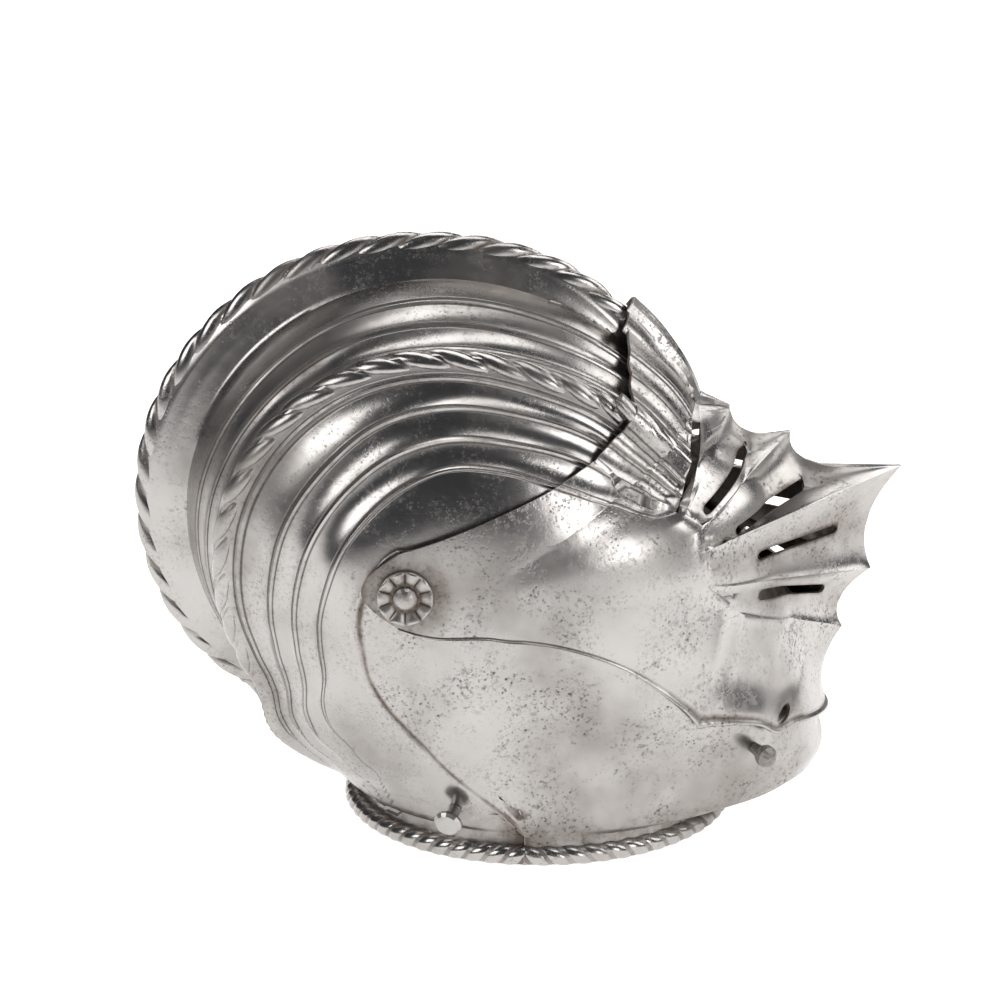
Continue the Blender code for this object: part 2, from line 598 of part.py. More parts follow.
def smooth_line(rows, count):
    """A smooth line through the points of a table, as evenly spaced points."""
    points = from_pivot([row[0] for row in rows], [row[1] for row in rows])
    steps = np.concatenate([[0], np.cumsum(np.linalg.norm(np.diff(points, axis=0), axis=1))])
    spot = np.linspace(0, steps[-1], count)
    axes = []
    for axis in (0, 1):
        pairs = list(zip(steps, points[:, axis]))
        axes.append(smooth_table(pairs, spot))
    return np.stack(axes, axis=-1)


def side_rows(place, foot):
    """Part of the visor's rows on its smooth sides, from behind the pivot to the foot."""
    count = VISOR_SIDE_COLUMNS + 1
    low = smooth_line(VISOR_LOW, count)
    top = smooth_line(VISOR_TOP, count)
    line = low * (1 - place) + top * place
    back = np.array([-TAB_BULGE * math.sin(math.pi * place), 0.0])
    s = np.linspace(0, 1, count)[:, None]
    return line + (foot - line[-1]) * s ** 2 + back * (1 - s) ** 4


def brim_profile(v):
    """Half width along the visor's lower edge as a share, from 0 at the keel to 1."""
    return (1 - (1 - v) ** 1.6) ** 0.6


def front_row(points, body, columns, depth):
    """Part of a row from its foot to the keel through given points, with half widths.

    The width starts with the cheek's slope, ends where the row leaves the beak's body, and
    goes on as a thin spike. Valleys are sunk by a depth that grows forwards.
    """
    line = spaced(points.T, columns).T
    steps = np.concatenate([[0], np.cumsum(np.linalg.norm(np.diff(line, axis=0), axis=1))])
    s = steps / steps[-1]
    t = np.minimum(1.0, s / body)
    foot_half = plain_half_width(points[:1, 0], points[:1, 1])[0]
    lean = CHEEK_LEAN * steps[-1] * body / foot_half
    wedge = (1 + 2 * t) * (1 - t) ** 2 - lean * t * (1 - t) ** 2 + KEEL_LEAN * t * t * (1 - t)
    half = smooth_max(foot_half * wedge, SPIKE_WIDTH * (steps[-1] - steps), SPIKE_FILLET)
    return line, half - depth * (0.35 + 0.65 * s) * ease(s / 0.16) * ease((1 - s) / 0.10)


def pull_back(keel, foot):
    """Moves a point of the keel back by the distance that the visor lies outside."""
    back = foot - keel
    return keel + back / np.linalg.norm(back) * 2 * LAYER


def visor_rows():
    """Rows of the visor's plain grid from its lower edge over the bellows to the brow."""
    front = (3, 5, 4)
    rows = []
    ridge_lines = []
    for foot_x, foot_z, spike_x, spike_z, _, _, place, body in RIDGES:
        foot = from_pivot(foot_x, foot_z)
        spike = pull_back(from_pivot(spike_x, spike_z), foot)
        points = np.stack([foot, foot + 0.30 * (spike - foot), foot + 0.78 * (spike - foot), spike])
        line, half = front_row(points, body, front, 0.0)
        ridge_lines.append((place, foot, line, half))
    low_foot = smooth_line(VISOR_LOW, 2)[-1]
    keel = pull_back(from_pivot(*LOW_KEEL), low_foot)
    share = spaced(np.array([0.0, 0.34, 0.74, 1.0]), front)
    drop = smooth_table(VISOR_LOW_FRONT, share) * BEAK_SPAN
    low_line = low_foot + (keel - low_foot) * share[:, None] + np.stack([0 * drop, -drop], 1)
    foot_half = plain_half_width(low_foot[:1], low_foot[1:])[0]
    low_half = foot_half * brim_profile(1 - share)
    place, foot, line, half = ridge_lines[0]
    for step in range(VISOR_LOW_ROWS):
        f = step / VISOR_LOW_ROWS
        side = side_rows(place * f, low_foot + (foot - low_foot) * f)
        fade = ease(f)
        mixed = low_line * (1 - f) + line * f
        pull = pull_back(from_pivot(*LOW_KEEL_PULL), foot) - (keel + line[-1]) / 2
        mixed += 2 * f * (1 - f) * pull * (share ** 2)[:, None]
        rows.append((side, mixed, low_half * (1 - fade) + half * fade))
    for number, slot in enumerate(SLOTS):
        place, foot, line, half = ridge_lines[number]
        next_place, next_foot = ridge_lines[number + 1][:2]
        rows.append((side_rows(place, foot), line, half))
        rear = from_pivot(slot[0], slot[1])
        fore = from_pivot(slot[2], slot[3])
        across = np.array([rear[1] - fore[1], fore[0] - rear[0]])
        across = across / np.linalg.norm(across) * SLOT_WIDTH / 2
        pull = from_pivot(RIDGES[number][4], RIDGES[number][5])
        for f, sign in ((0.42, -1), (0.58, 1)):
            spike = from_pivot(RIDGES[number][2], RIDGES[number][3])
            next_spike = from_pivot(RIDGES[number + 1][2], RIDGES[number + 1][3])
            keel = (1 - f) ** 2 * spike + 2 * f * (1 - f) * pull + f * f * next_spike
            mid_foot = foot + (next_foot - foot) * f
            keel = pull_back(keel, mid_foot)
            points = np.stack([mid_foot, rear + sign * across, fore + sign * across, keel])
            line, half = front_row(points, 1.0, front, PLEAT_DEPTH)
            rows.append((side_rows(place + (next_place - place) * f, mid_foot), line, half))
    place, foot, line, half = ridge_lines[-1]
    rows.append((side_rows(place, foot), line, half))
    return rows


def brow_rows():
    """Rows of the visor's brow from its lower edge up: place, points and half widths."""
    low = [(row[1], row[0]) for row in BROW_LOW]
    top = [(row[1], row[0]) for row in BROW_TOP]
    rows = []
    for step in range(VISOR_BROW_ROWS + 1):
        f = step / VISOR_BROW_ROWS
        angle = np.full(10, BROW_ANGLE)
        for _ in range(4):
            crest = bowl_radius(angle) + comb_rise(angle)
            foot_share = BROW_FOOT[0] * (1 - f) + BROW_FOOT[1] * f
            lines = crest_stations(angle, crest, crest * foot_share)
            lines = np.concatenate([lines[:, :1], lines[:, 3:]], axis=1)
            reach = np.diagonal(lines)
            share = reach / crest
            angle = smooth_table(low, share) * (1 - f) + smooth_table(top, share) * f
        steps = (2, 1, 1, 1, 1, 1, 1, 2, 2)
        angle = spaced(angle, steps)
        reach = spaced(reach, steps)
        x = HUB_X + reach * np.cos(np.radians(angle))
        z = HUB_Z + reach * np.sin(np.radians(angle))
        half = skull_half_width(x, z)
        half[-1] = 0.0
        climb = np.clip((reach - reach[7]) / (reach[11] - reach[7]), 0, 1)
        flank = half[11] + (half[7] - half[11]) * (1 - climb) ** 1.3
        half[8:11] = np.maximum(half, flank)[8:11]
        rows.append((f, np.stack([x, z], axis=1), half))
    return rows


def build_visor():
    """Visor: smooth sides, five ridges with slots between them, and the brow."""
    rows = visor_rows()
    brow = brow_rows()
    _, edge, edge_half = brow[0]
    along = edge[-1] - edge[0]
    ahead = np.array([along[1], -along[0]]) / np.linalg.norm(along)
    sight = edge + ahead * SLOT_WIDTH
    sight_half = edge_half - PLEAT_DEPTH / 2 * (edge_half > 0)
    rows.append((side_rows(SIGHT_PLACES[0], sight[0]), sight, sight_half))
    for f, line, half in brow:
        place = SIGHT_PLACES[1] + (1 - SIGHT_PLACES[1]) * f
        rows.append((side_rows(place, line[0]), line, half))
    points = np.array([np.concatenate([side[:-1], line]) for side, line, _ in rows])
    x = points[..., 0]
    z = points[..., 1]
    half = plain_half_width(x, z)
    front = VISOR_SIDE_COLUMNS
    half[:, front:] = smooth_max(half[:, front:], np.array([row[2] for row in rows]), 0.004)
    half[:, -1] = 0.0
    angle, reach = hub_polar(x, z)
    lift = flute_lift(angle, reach / bowl_radius(angle))
    first_brow = len(rows) - len(brow)
    lift[:first_brow] = 0.0
    middle = np.ones(len(rows), bool)
    outer, inner = finish_faces(np.stack([x, -half, z], axis=-1), middle, lift, 2 * LAYER)
    keep = np.ones((len(rows) - 1, points.shape[1] - 1), bool)
    for number in range(len(SLOTS)):
        keep[VISOR_LOW_ROWS + 1 + 3 * number, front + 3:front + 8] = False
    keep[first_brow - 1, front:front + 9] = False
    plate, _, _ = both_sides(outer, inner, middle, True, keep)
    return plate.build("visor")


def turned_piece(name, line, at, axis):
    """A closed solid turned round an axis, from a line of radius and height along it."""
    turn = np.arange(ROUND) * 2 * math.pi / ROUND
    axis = np.asarray(axis, float) / np.linalg.norm(axis)
    side = np.cross(axis, (0.0, 0.0, 1.0))
    side /= np.linalg.norm(side)
    up = np.cross(axis, side)
    ring = np.cos(turn)[:, None] * side + np.sin(turn)[:, None] * up
    closed = line[0][0] > 0
    inside = line if closed else line[1:-1]
    points = [np.asarray(at) + axis * height + ring * radius for radius, height in inside]
    count = len(inside)
    faces = []
    for i in range(count if closed else count - 1):
        j = (i + 1) % count
        for k in range(ROUND):
            n = (k + 1) % ROUND
            faces.append((i * ROUND + k, j * ROUND + k, j * ROUND + n, i * ROUND + n))
    flat = np.concatenate(points)
    if not closed:
        flat = np.concatenate([flat, [np.asarray(at) + axis * line[0][1]],
                               [np.asarray(at) + axis * line[-1][1]]])
        for k in range(ROUND):
            n = (k + 1) % ROUND
            faces.append((count * ROUND, k, n))
            faces.append((count * ROUND + 1, (count - 1) * ROUND + n, (count - 1) * ROUND + k))
    mesh = bpy.data.meshes.new(name)
    mesh.from_pydata(flat.tolist(), [], faces)
    mesh.validate()
    return mesh


def surface_spot(x, z, offset):
    """A point of the right side at a distance outside the plain form, and the way out."""
    step = 0.001
    grid_x, grid_z = np.meshgrid([x - step, x, x + step], [z - step, z, z + step])
    half = plain_half_width(grid_x, grid_z)
    slope_x = (half[1, 2] - half[1, 0]) / (2 * step)
    slope_z = (half[2, 1] - half[0, 1]) / (2 * step)
    way = np.array([-slope_x, -1.0, -slope_z])
    way /= np.linalg.norm(way)
    return np.array([x, -half[1, 1], z]) + way * offset, way


def cutter(name, radius, at, axis, stretch=1.0):
    """A round or oval bar that only cuts holes."""
    half_length = 0.010
    line = [(0.0, half_length), (radius, half_length), (radius, -half_length), (0.0, -half_length)]
    bar = bpy.data.objects.new(name, turned_piece(name, line, at, axis))
    bpy.context.collection.objects.link(bar)
    for vertex in bar.data.vertices:
        vertex.co.z = at[2] + (vertex.co.z - at[2]) * stretch
    bar.hide_render = True
    bar.display_type = "WIRE"
    return bar


def cut(piece, bar):
    """Cuts the piece with the bar."""
    change = piece.modifiers.new(bar.name, "BOOLEAN")
    change.operation = "DIFFERENCE"
    change.solver = "EXACT"
    change.object = bar


bpy.ops.object.select_all(action="DESELECT")
for old in list(bpy.data.objects):
    bpy.data.objects.remove(old, do_unlink=True)

# The three plates
pivot = (PIVOT_X, 0.0, PIVOT_Z)
skull = place("skull", build_skull(), 0.25)
bevor = place("bevor", build_bevor(), 0.25, pivot)
visor = place("visor", build_visor(), 0.25, pivot)

# Pivot rivets with their turned rosettes, one on each side
plate_out = HALF_WIDTH - PIVOT_FLAT
visor_out = plate_out + 2 * LAYER
rosette_in = visor_out + SEAT_GAP
rosette_out = rosette_in + ROSETTE_THICKNESS
head_in = rosette_out - ROSETTE_THICKNESS / 2 + SEAT_GAP
burr_out = plate_out - WALL - SEAT_GAP - BURR_PLAY
for side, sign in (("right", -1.0), ("left", 1.0)):
    axis = (0.0, sign, 0.0)
    rosette_line = [
        (RIVET_RADIUS + SEAT_GAP, rosette_in), (RIVET_RADIUS + SEAT_GAP, head_in - SEAT_GAP),
        (RIVET_HEAD_RADIUS + 0.001, head_in - SEAT_GAP),
        (ROSETTE_RADIUS - 0.002, rosette_out), (ROSETTE_RADIUS, rosette_out - 0.0006),
        (ROSETTE_RADIUS, rosette_in),
    ]
    rosette = turned_piece("rosette_" + side, rosette_line, pivot, axis)
    place("rosette_" + side, rosette, 0.35)
    dome = [(RIVET_HEAD_RADIUS * math.sin(t), head_in + RIVET_HEAD_RISE * math.cos(t))
            for t in np.radians([0, 25, 50, 75, 90])]
    shank = [(RIVET_RADIUS, head_in), (RIVET_RADIUS, burr_out), (BURR_RADIUS, burr_out),
             (BURR_RADIUS, burr_out - BURR_THICKNESS), (0.0, burr_out - BURR_THICKNESS)]
    rivet = turned_piece("pivot_rivet_" + side, dome + shank, pivot, axis)
    place("pivot_rivet_" + side, rivet, 0.3)
    through = (PIVOT_X, sign * plate_out, PIVOT_Z)
    hole = cutter("pivot_hole_" + side, RIVET_RADIUS + SEAT_GAP, through, axis)
    cut(skull, hole)
    cut(visor, hole)

# Locking studs and holes on the right side
spot, way = surface_spot(SKULL_STUD[0], SKULL_STUD[1], SEAT_GAP)
stud_line = [(0.0, STUD_REACH), (STUD_HEAD_RADIUS * 0.8, STUD_REACH - 0.0004),
             (STUD_HEAD_RADIUS, STUD_REACH - 0.0018), (STUD_HEAD_RADIUS, STUD_REACH - 0.0032),
             (STUD_STEM_RADIUS, STUD_REACH - 0.0040), (STUD_STEM_RADIUS, 0.0), (0.0, 0.0)]
place("skull_stud", turned_piece("skull_stud", stud_line, spot, way), 0.4)
spot, way = surface_spot(BEVOR_STUD[0], BEVOR_STUD[1], LAYER + SEAT_GAP)
ball = [(KNOB_RADIUS * math.sin(t), 1.75 * KNOB_RADIUS + KNOB_RADIUS * math.cos(t))
        for t in np.radians([0, 25, 50, 75, 100, 125, 145])]
neck_line = [(KNOB_RADIUS * 0.5, 0.0), (0.0, 0.0)]
place("bevor_stud", turned_piece("bevor_stud", ball + neck_line, spot, way), 0.4, pivot)
spot, way = surface_spot(LOCK_HOLE[0], LOCK_HOLE[1], LAYER)
cut(bevor, cutter("lock_hole", HOLE_RADIUS, spot, way))
spot, way = surface_spot(CATCH_HOLE[0], CATCH_HOLE[1], 2 * LAYER)
cut(visor, cutter("catch_hole", CATCH_RADIUS, spot, way, CATCH_STRETCH))
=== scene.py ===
"""Maximilian close helmet in polished steel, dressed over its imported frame."""
import math

import bpy
import numpy as np
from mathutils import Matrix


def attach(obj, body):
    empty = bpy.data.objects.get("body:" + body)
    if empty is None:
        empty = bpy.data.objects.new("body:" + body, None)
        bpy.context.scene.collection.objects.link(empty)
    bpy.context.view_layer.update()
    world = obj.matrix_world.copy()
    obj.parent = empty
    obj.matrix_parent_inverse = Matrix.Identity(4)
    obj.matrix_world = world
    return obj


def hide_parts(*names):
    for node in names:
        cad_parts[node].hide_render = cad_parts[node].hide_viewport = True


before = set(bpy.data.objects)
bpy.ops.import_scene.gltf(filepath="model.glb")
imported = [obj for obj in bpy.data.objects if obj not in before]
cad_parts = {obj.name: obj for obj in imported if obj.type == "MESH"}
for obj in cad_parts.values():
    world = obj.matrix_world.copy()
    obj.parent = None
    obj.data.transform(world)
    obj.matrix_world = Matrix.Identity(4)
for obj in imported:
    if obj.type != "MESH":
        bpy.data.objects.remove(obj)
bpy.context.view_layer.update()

# Camera and studio. A long lens looks at the wearer's right side from a little above. Five
# soft boxes and a pale table, which glows less towards the front, give broad reflections.
EYE_DISTANCE = 2.0
EYE_HEIGHT_ANGLE = math.radians(17.4)
AIM = (-0.0086, 0.0, 0.152)
TABLE_HALF = 9.0
GLOW_EDGES = (-1.1, -0.6)

scene = bpy.context.scene


def placed(name, data):
    """A new object of the scene that shows some data."""
    item = bpy.data.objects.new(name, data)
    scene.collection.objects.link(item)
    return item


lens = bpy.data.cameras.new("lens")
lens.lens = 150.0
lens.sensor_width = 36.0
camera = placed("camera", lens)
camera.location = (AIM[0], AIM[1] - EYE_DISTANCE * math.cos(EYE_HEIGHT_ANGLE),
                   AIM[2] + EYE_DISTANCE * math.sin(EYE_HEIGHT_ANGLE))
camera.rotation_euler = (math.pi / 2 - EYE_HEIGHT_ANGLE, 0.0, 0.0)
scene.camera = camera
scene.view_settings.view_transform = "Standard"

room = bpy.data.worlds.new("room")
scene.world = room
room.use_nodes = True
room.node_tree.nodes["Background"].inputs["Color"].default_value = (0.05, 0.052, 0.058, 1.0)


def soft_box(name, place, aim, width, height, watts):
    """A rectangular light at a place, turned towards a point."""
    light = bpy.data.lights.new(name, "AREA")
    light.shape = "RECTANGLE"
    light.size = width
    light.size_y = height
    light.energy = watts
    box = placed(name, light)
    way = np.asarray(aim, float) - np.asarray(place, float)
    box.location = place
    box.rotation_euler = (math.acos(-way[2] / np.linalg.norm(way)), 0.0,
                          math.atan2(way[1], way[0]) - math.pi / 2)


soft_box("left_box", (-1.6, -1.3, 1.3), (0.0, 0.0, 0.12), 1.2, 1.2, 14.0)
soft_box("top_box", (0.1, 0.1, 2.0), (0.0, 0.0, 0.15), 2.4, 0.8, 15.0)
soft_box("side_box", (1.7, 0.2, 1.15), (0.05, 0.0, 0.15), 1.5, 1.3, 16.0)
soft_box("back_box", (0.3, 1.5, 1.1), (0.05, 0.0, 0.15), 1.6, 0.7, 11.0)
soft_box("right_box", (1.4, -1.8, 0.6), (0.0, 0.0, 0.15), 0.7, 0.9, 9.0)


class Link:
    """A shader socket whose operators add Math nodes to the tree."""

    def __init__(self, tree, socket):
        self.tree, self.socket = tree, socket

    def node(self, kind, settings=None, out=0, **inputs):
        """Adds a node: its settings first, then values or links by socket name or number."""
        made = self.tree.nodes.new("ShaderNode" + kind)
        for key, value in (settings or {}).items():
            setattr(made, key, value)
        for key, value in inputs.items():
            numbered = key[0] == "n" and key[1:].isdigit()
            socket = made.inputs[int(key[1:]) if numbered else key.replace("_", " ")]
            if isinstance(value, Link):
                self.tree.links.new(value.socket, socket)
            else:
                socket.default_value = value
        return Link(self.tree, made.outputs[out])

    def maths(self, way, other=0.0, swap=False):
        """One Math node on this value and another."""
        pair = (other, self) if swap else (self, other)
        return self.node("Math", {"operation": way}, n0=pair[0], n1=pair[1])

    def __add__(self, other):
        return self.maths("ADD", other)

    def __sub__(self, other):
        return self.maths("SUBTRACT", other)

    def __rsub__(self, other):
        return self.maths("SUBTRACT", other, swap=True)

    def __mul__(self, other):
        return self.maths("MULTIPLY", other)

    __radd__ = __add__
    __rmul__ = __mul__

    def clamped(self):
        """The value kept between 0 and 1."""
        return self.node("Clamp", None, Value=self)

    def ramp(self, low, high):
        """0 at low and 1 at high, eased between."""
        return self.node("MapRange", {"interpolation_type": "SMOOTHSTEP"},
                         Value=self, From_Min=low, From_Max=high)

    def mix(self, low, high):
        """The first colour at 0 and the second at 1."""
        return self.node("Mix", {"data_type": "RGBA"}, out=2, n0=self, n6=low, n7=high)


table = bpy.data.meshes.new("table")
table.from_pydata([(-TABLE_HALF, -TABLE_HALF, 0), (TABLE_HALF, -TABLE_HALF, 0),
                   (TABLE_HALF, TABLE_HALF, 0), (-TABLE_HALF, TABLE_HALF, 0)], [], [(0, 1, 2, 3)])
table_top = placed("table", table)
table_paint = bpy.data.materials.new("white_table")
table_paint.use_nodes = True
table_shader = table_paint.node_tree.nodes["Principled BSDF"]
for key, value in (("Base Color", (0.8, 0.8, 0.8, 1.0)), ("Roughness", 0.9),
                   ("Specular IOR Level", 0.0), ("Emission Strength", 0.85)):
    table_shader.inputs[key].default_value = value
spot = Link(table_paint.node_tree, None).node("TexCoord", out="Object")
across = spot.node("SeparateXYZ", out="Y", Vector=spot)
glow = across.ramp(*GLOW_EDGES).mix((0.22, 0.22, 0.22, 1.0), (1.0, 1.0, 1.0, 1.0))
table_paint.node_tree.links.new(glow.socket, table_shader.inputs["Emission Color"])
table.materials.append(table_paint)

# Skull. One sheet of steel hammered into a tall bowl, with a high middle comb, two low side
# combs and fans of flutes between incised lines. It carries every other piece.
HALF_WIDTH = 0.097
SKULL_RADIUS = 0.134
FACE_REACH = 0.156
COMB_HEIGHT = 0.027
COMB_HALF = 0.0042
COMB_FLARE = 0.014
CREST_SUNK = 0.0028
COMB_FILLET = 0.014
ROPE_RADIUS = 0.0052
SIDE_COMB_HEIGHT = 0.005
FLUTE_DEPTH = 0.0017
WALL = 0.0016
PLATE_GAP = 0.0014
LAYER = WALL + PLATE_GAP
PIVOT_X = -0.052
PIVOT_Z = 0.137
HUB_X = PIVOT_X + 0.025
HUB_Z = PIVOT_Z - 0.005
NECK_X = 0.0098
NECK_RADIUS = 0.0866
NECK_TOP = 0.014
NECK_BLEND = 0.07
RIM_RADIUS = 0.0944
RIM_ROLL = 0.005
RIM_SPLIT_X = 0.003
CHEEK_SLOPE = 0.4
HUB_OPENING = 0.012
BROW_ANGLE = 38.0
PIVOT_SUNK = 0.0011
LINE_STEP = 0.0015
NO_LINE = -0.5
CREST_RAYS = 130
RIM_RAYS = 24
# Hole for a lost lock at the bevor's lower rear corner; the skull behind it is opened a
# little wider, so that the hole shows dark
LOCK_HOLE = (-0.0025, 0.0251)
LOCK_HOLE_RADIUS = 0.0038
LOCK_HOLE_BEHIND = 0.0046

# Plain section in the plane of symmetry: degrees round the hub, share of the face's reach
FACE_SECTION = [
    (-43.4, 1.1), (-41.5, 1.122), (-37.9, 1.194), (-34.3, 1.262), (-32.3, 1.283),
    (-30.2, 1.28), (-28.1, 1.245), (-22.4, 1.16), (-17, 1.11), (-11, 1.055),
    (-2.5, 1), (6.7, 0.982), (14.4, 0.955), (25.3, 0.853), (32, 0.808),
]
# The same over the bowl, as shares of the skull's radius
BOWL_SECTION = [
    (32, 0.94), (39, 0.948), (46.6, 0.945), (71, 0.955), (101, 0.995), (119, 1.015),
    (141, 1.022), (162, 1.008), (178, 0.972), (190, 0.937), (202, 0.905),
    (215, 0.903), (221, 0.945), (230, 0.954), (237, 0.938), (242.6, 0.957),
    (246.5, 0.962), (256, 1.15), (270, 1.45), (290, 1.7),
]
# Middle comb above the bowl, as a share of its height
COMB_RISE = [
    (30, 0.12), (32.8, 0.144), (38.4, 0.226), (43.7, 0.32), (49.4, 0.422), (56.4, 0.504),
    (60.2, 0.567), (70.3, 0.704), (80, 0.755), (89.6, 0.77), (107.7, 0.85), (125.5, 0.94),
    (142.6, 0.99), (152, 1), (169.4, 0.985), (186.9, 0.91), (195.6, 0.83), (203.9, 0.68),
    (212.2, 0.43), (220, 0.1), (226, 0), (290, 0),
]
# Incised lines as shares of the bowl's radius: degrees, lines 7, 6 and 5, foot of the side
# comb, its top, lines 4, 3 and 2
FLUTES = [
    (15, 0.7, 0.74, 0.775, 0.805, 0.84, 0.882, 0.922, 0.958),
    (24, 0.654, 0.725, 0.776, 0.816, 0.853, 0.897, 0.936, 0.968),
    (32, 0.625, 0.716, 0.778, 0.826, 0.865, 0.91, 0.948, 0.979),
    (39, 0.58, 0.68, 0.754, 0.807, 0.851, 0.899, 0.943, 0.977),
    (45, 0.555, 0.665, 0.745, 0.803, 0.847, 0.895, 0.94, 0.975),
    (70, 0.5, 0.595, 0.69, 0.765, 0.812, 0.86, 0.915, 0.965),
    (95, 0.47, 0.565, 0.665, 0.757, 0.803, 0.842, 0.905, 0.96),
    (115, 0.44, 0.543, 0.65, 0.76, 0.807, 0.845, 0.9, 0.955),
    (135, 0.425, 0.528, 0.627, 0.765, 0.812, 0.85, 0.893, 0.947),
    (155, 0.435, 0.537, 0.635, 0.775, 0.822, 0.86, 0.9, 0.947),
    (175, 0.47, 0.575, 0.668, 0.8, 0.847, 0.885, 0.922, 0.96),
    (195, 0.55, 0.65, 0.74, 0.85, 0.893, 0.925, 0.952, 0.976),
    (215, 0.645, 0.745, 0.825, 0.895, 0.93, 0.95, 0.968, 0.984),
    (235, 0.76, 0.83, 0.885, 0.925, 0.945, 0.96, 0.975, 0.988),
    (290, 0.76, 0.83, 0.885, 0.925, 0.945, 0.96, 0.975, 0.988),
]
FLUTE_END = (222, 243)
# Rear edge of the bevor round the pivot, under which the cheek sinks: degrees, share
BEVOR_EDGE = [
    (-260, 0.16), (-218, 0.135), (-186, 0.149), (-152, 0.197), (-125.4, 0.27),
    (-110, 0.369), (-97, 0.469), (-85.3, 0.572), (-79.8, 0.654), (-73.6, 0.776),
    (-68.7, 0.891), (-67, 0.955),
]


def smooth_table(rows, at, column=1):
    """Cubic through a table's points, with the slope at each from its neighbours."""
    xs = np.array([row[0] for row in rows], float)
    ys = np.array([row[column] for row in rows], float)
    slope = np.gradient(ys, xs)
    spot = np.clip(at, xs[0], xs[-1])
    i = np.clip(np.searchsorted(xs, spot, side="right") - 1, 0, len(xs) - 2)
    span = xs[i + 1] - xs[i]
    f = (spot - xs[i]) / span
    return (ys[i] * (1 + 2 * f) * (1 - f) ** 2 + slope[i] * span * f * (1 - f) ** 2
            + ys[i + 1] * f * f * (3 - 2 * f) + slope[i + 1] * span * f * f * (f - 1))


def ease(f):
    """Three times the square less twice the cube, from 0 to 1."""
    f = np.clip(f, 0.0, 1.0)
    return f * f * (3 - 2 * f)


def unit(rows):
    """Vectors brought to length 1."""
    return rows / np.maximum(np.linalg.norm(rows, axis=-1, keepdims=True), 1e-12)


def smooth_max(a, b, soft):
    """The larger width, plus the squared shortfall of their difference over four softs."""
    return np.maximum(a, b) + np.maximum(0.0, soft - np.abs(a - b)) ** 2 / (4 * soft)


def polar(x, z, degrees, reach):
    """Points at some degrees and distances round a centre in the plane of symmetry."""
    turn = np.radians(degrees)
    return x + reach * np.cos(turn), z + reach * np.sin(turn)


def hub_polar(x, z):
    """Degrees from -90 to 270 and distance round the section hub."""
    angle = np.degrees(np.arctan2(z - HUB_Z, x - HUB_X))
    return np.where(angle < -90, angle + 360, angle), np.hypot(x - HUB_X, z - HUB_Z)


def bowl_radius(angle):
    """Hub to the plain section: the face's table below 32 degrees, the bowl's above."""
    mixed = np.where(angle < 32.0, FACE_REACH * smooth_table(FACE_SECTION, angle),
                     SKULL_RADIUS * smooth_table(BOWL_SECTION, angle))
    lowest, share = FACE_SECTION[0]
    first = FACE_REACH * share
    last = SKULL_RADIUS * smooth_table(BOWL_SECTION, np.array(270.0))
    below = first + (last - first) * ease((lowest - angle) / (90 + lowest))
    return np.where(angle < lowest, below, mixed)


def table_points(x, z, rows, size):
    """Points of a table of degrees and shares of a size round a centre."""
    degrees, share = np.array(rows).T
    return polar(x, z, degrees, size * share)


def plain_half_width(x, z):
    """Half width times the root of one less the radius share to the power 2.2, turned into
    a surface of revolution near the pivot and into a round neck below."""
    angle, reach = hub_polar(x, z)
    share = reach / bowl_radius(angle)
    bowl = HALF_WIDTH * np.sqrt(np.maximum(0.0, 1 - share ** 2.2))
    from_pivot = np.hypot(x - PIVOT_X, z - PIVOT_Z)
    flat = HALF_WIDTH - PIVOT_SUNK - 1.6 * from_pivot ** 2
    bowl = flat + (bowl - flat) * ease((from_pivot - 0.012) / 0.04)
    rear_x, rear_z = table_points(HUB_X, HUB_Z, BOWL_SECTION[9:-3], SKULL_RADIUS)
    front_x, front_z = table_points(HUB_X, HUB_Z, FACE_SECTION[:10], FACE_REACH)
    blend = ease((z - NECK_TOP) / NECK_BLEND)
    centre = NECK_X + (HUB_X - NECK_X) * blend
    rear = centre - np.interp(z, rear_z[::-1], rear_x[::-1])
    front = np.interp(z, front_z, front_x) - centre
    rear = np.where(z < rear_z[-1] + 0.001, NECK_RADIUS, rear)
    front = np.where(z < front_z[0] + 0.001, NECK_RADIUS, front)
    across = np.abs((x - centre) / np.where(x < centre, rear, front))
    widest = NECK_RADIUS + (HALF_WIDTH - 0.003 - NECK_RADIUS) * blend
    neck = widest * np.sqrt(np.maximum(0.0, 1 - across ** (2 + 0.4 * blend)))
    return neck * (1 - blend) + bowl * blend


def comb_rise(angle):
    """Height of the middle comb above the bowl."""
    return COMB_HEIGHT * np.maximum(0.0, smooth_table(COMB_RISE, angle))


def comb_rope(angle):
    """Radius of the comb's rolled edge, fading where the comb dies out."""
    return ROPE_RADIUS * ease(comb_rise(angle) / (2.2 * ROPE_RADIUS))


def skull_half_width(x, z):
    """Plain form, with the comb's web grown out of it by a fillet and a round edge on top."""
    angle, reach = hub_polar(x, z)
    rise = comb_rise(angle)
    grown = ease(rise / (2.2 * ROPE_RADIUS))
    rope = 0.6 * ROPE_RADIUS * grown
    crest = bowl_radius(angle) + rise - CREST_SUNK * grown
    foot = np.clip((crest - rope - reach) / (rise + 0.01), 0, 1)
    web = COMB_HALF * grown * (0.5 + 0.7 * np.clip((crest - reach) / 0.014, 0, 1))
    web = web + COMB_FLARE * foot ** 2 * grown
    plain = plain_half_width(x, z)
    body = np.where(reach > crest - rope, 0.0, smooth_max(plain, web, COMB_FILLET))
    edge = np.sqrt(np.maximum(0.0, rope ** 2 - (reach - (crest - rope)) ** 2))
    return np.where(rise > 1e-5, np.maximum(body, edge), plain)


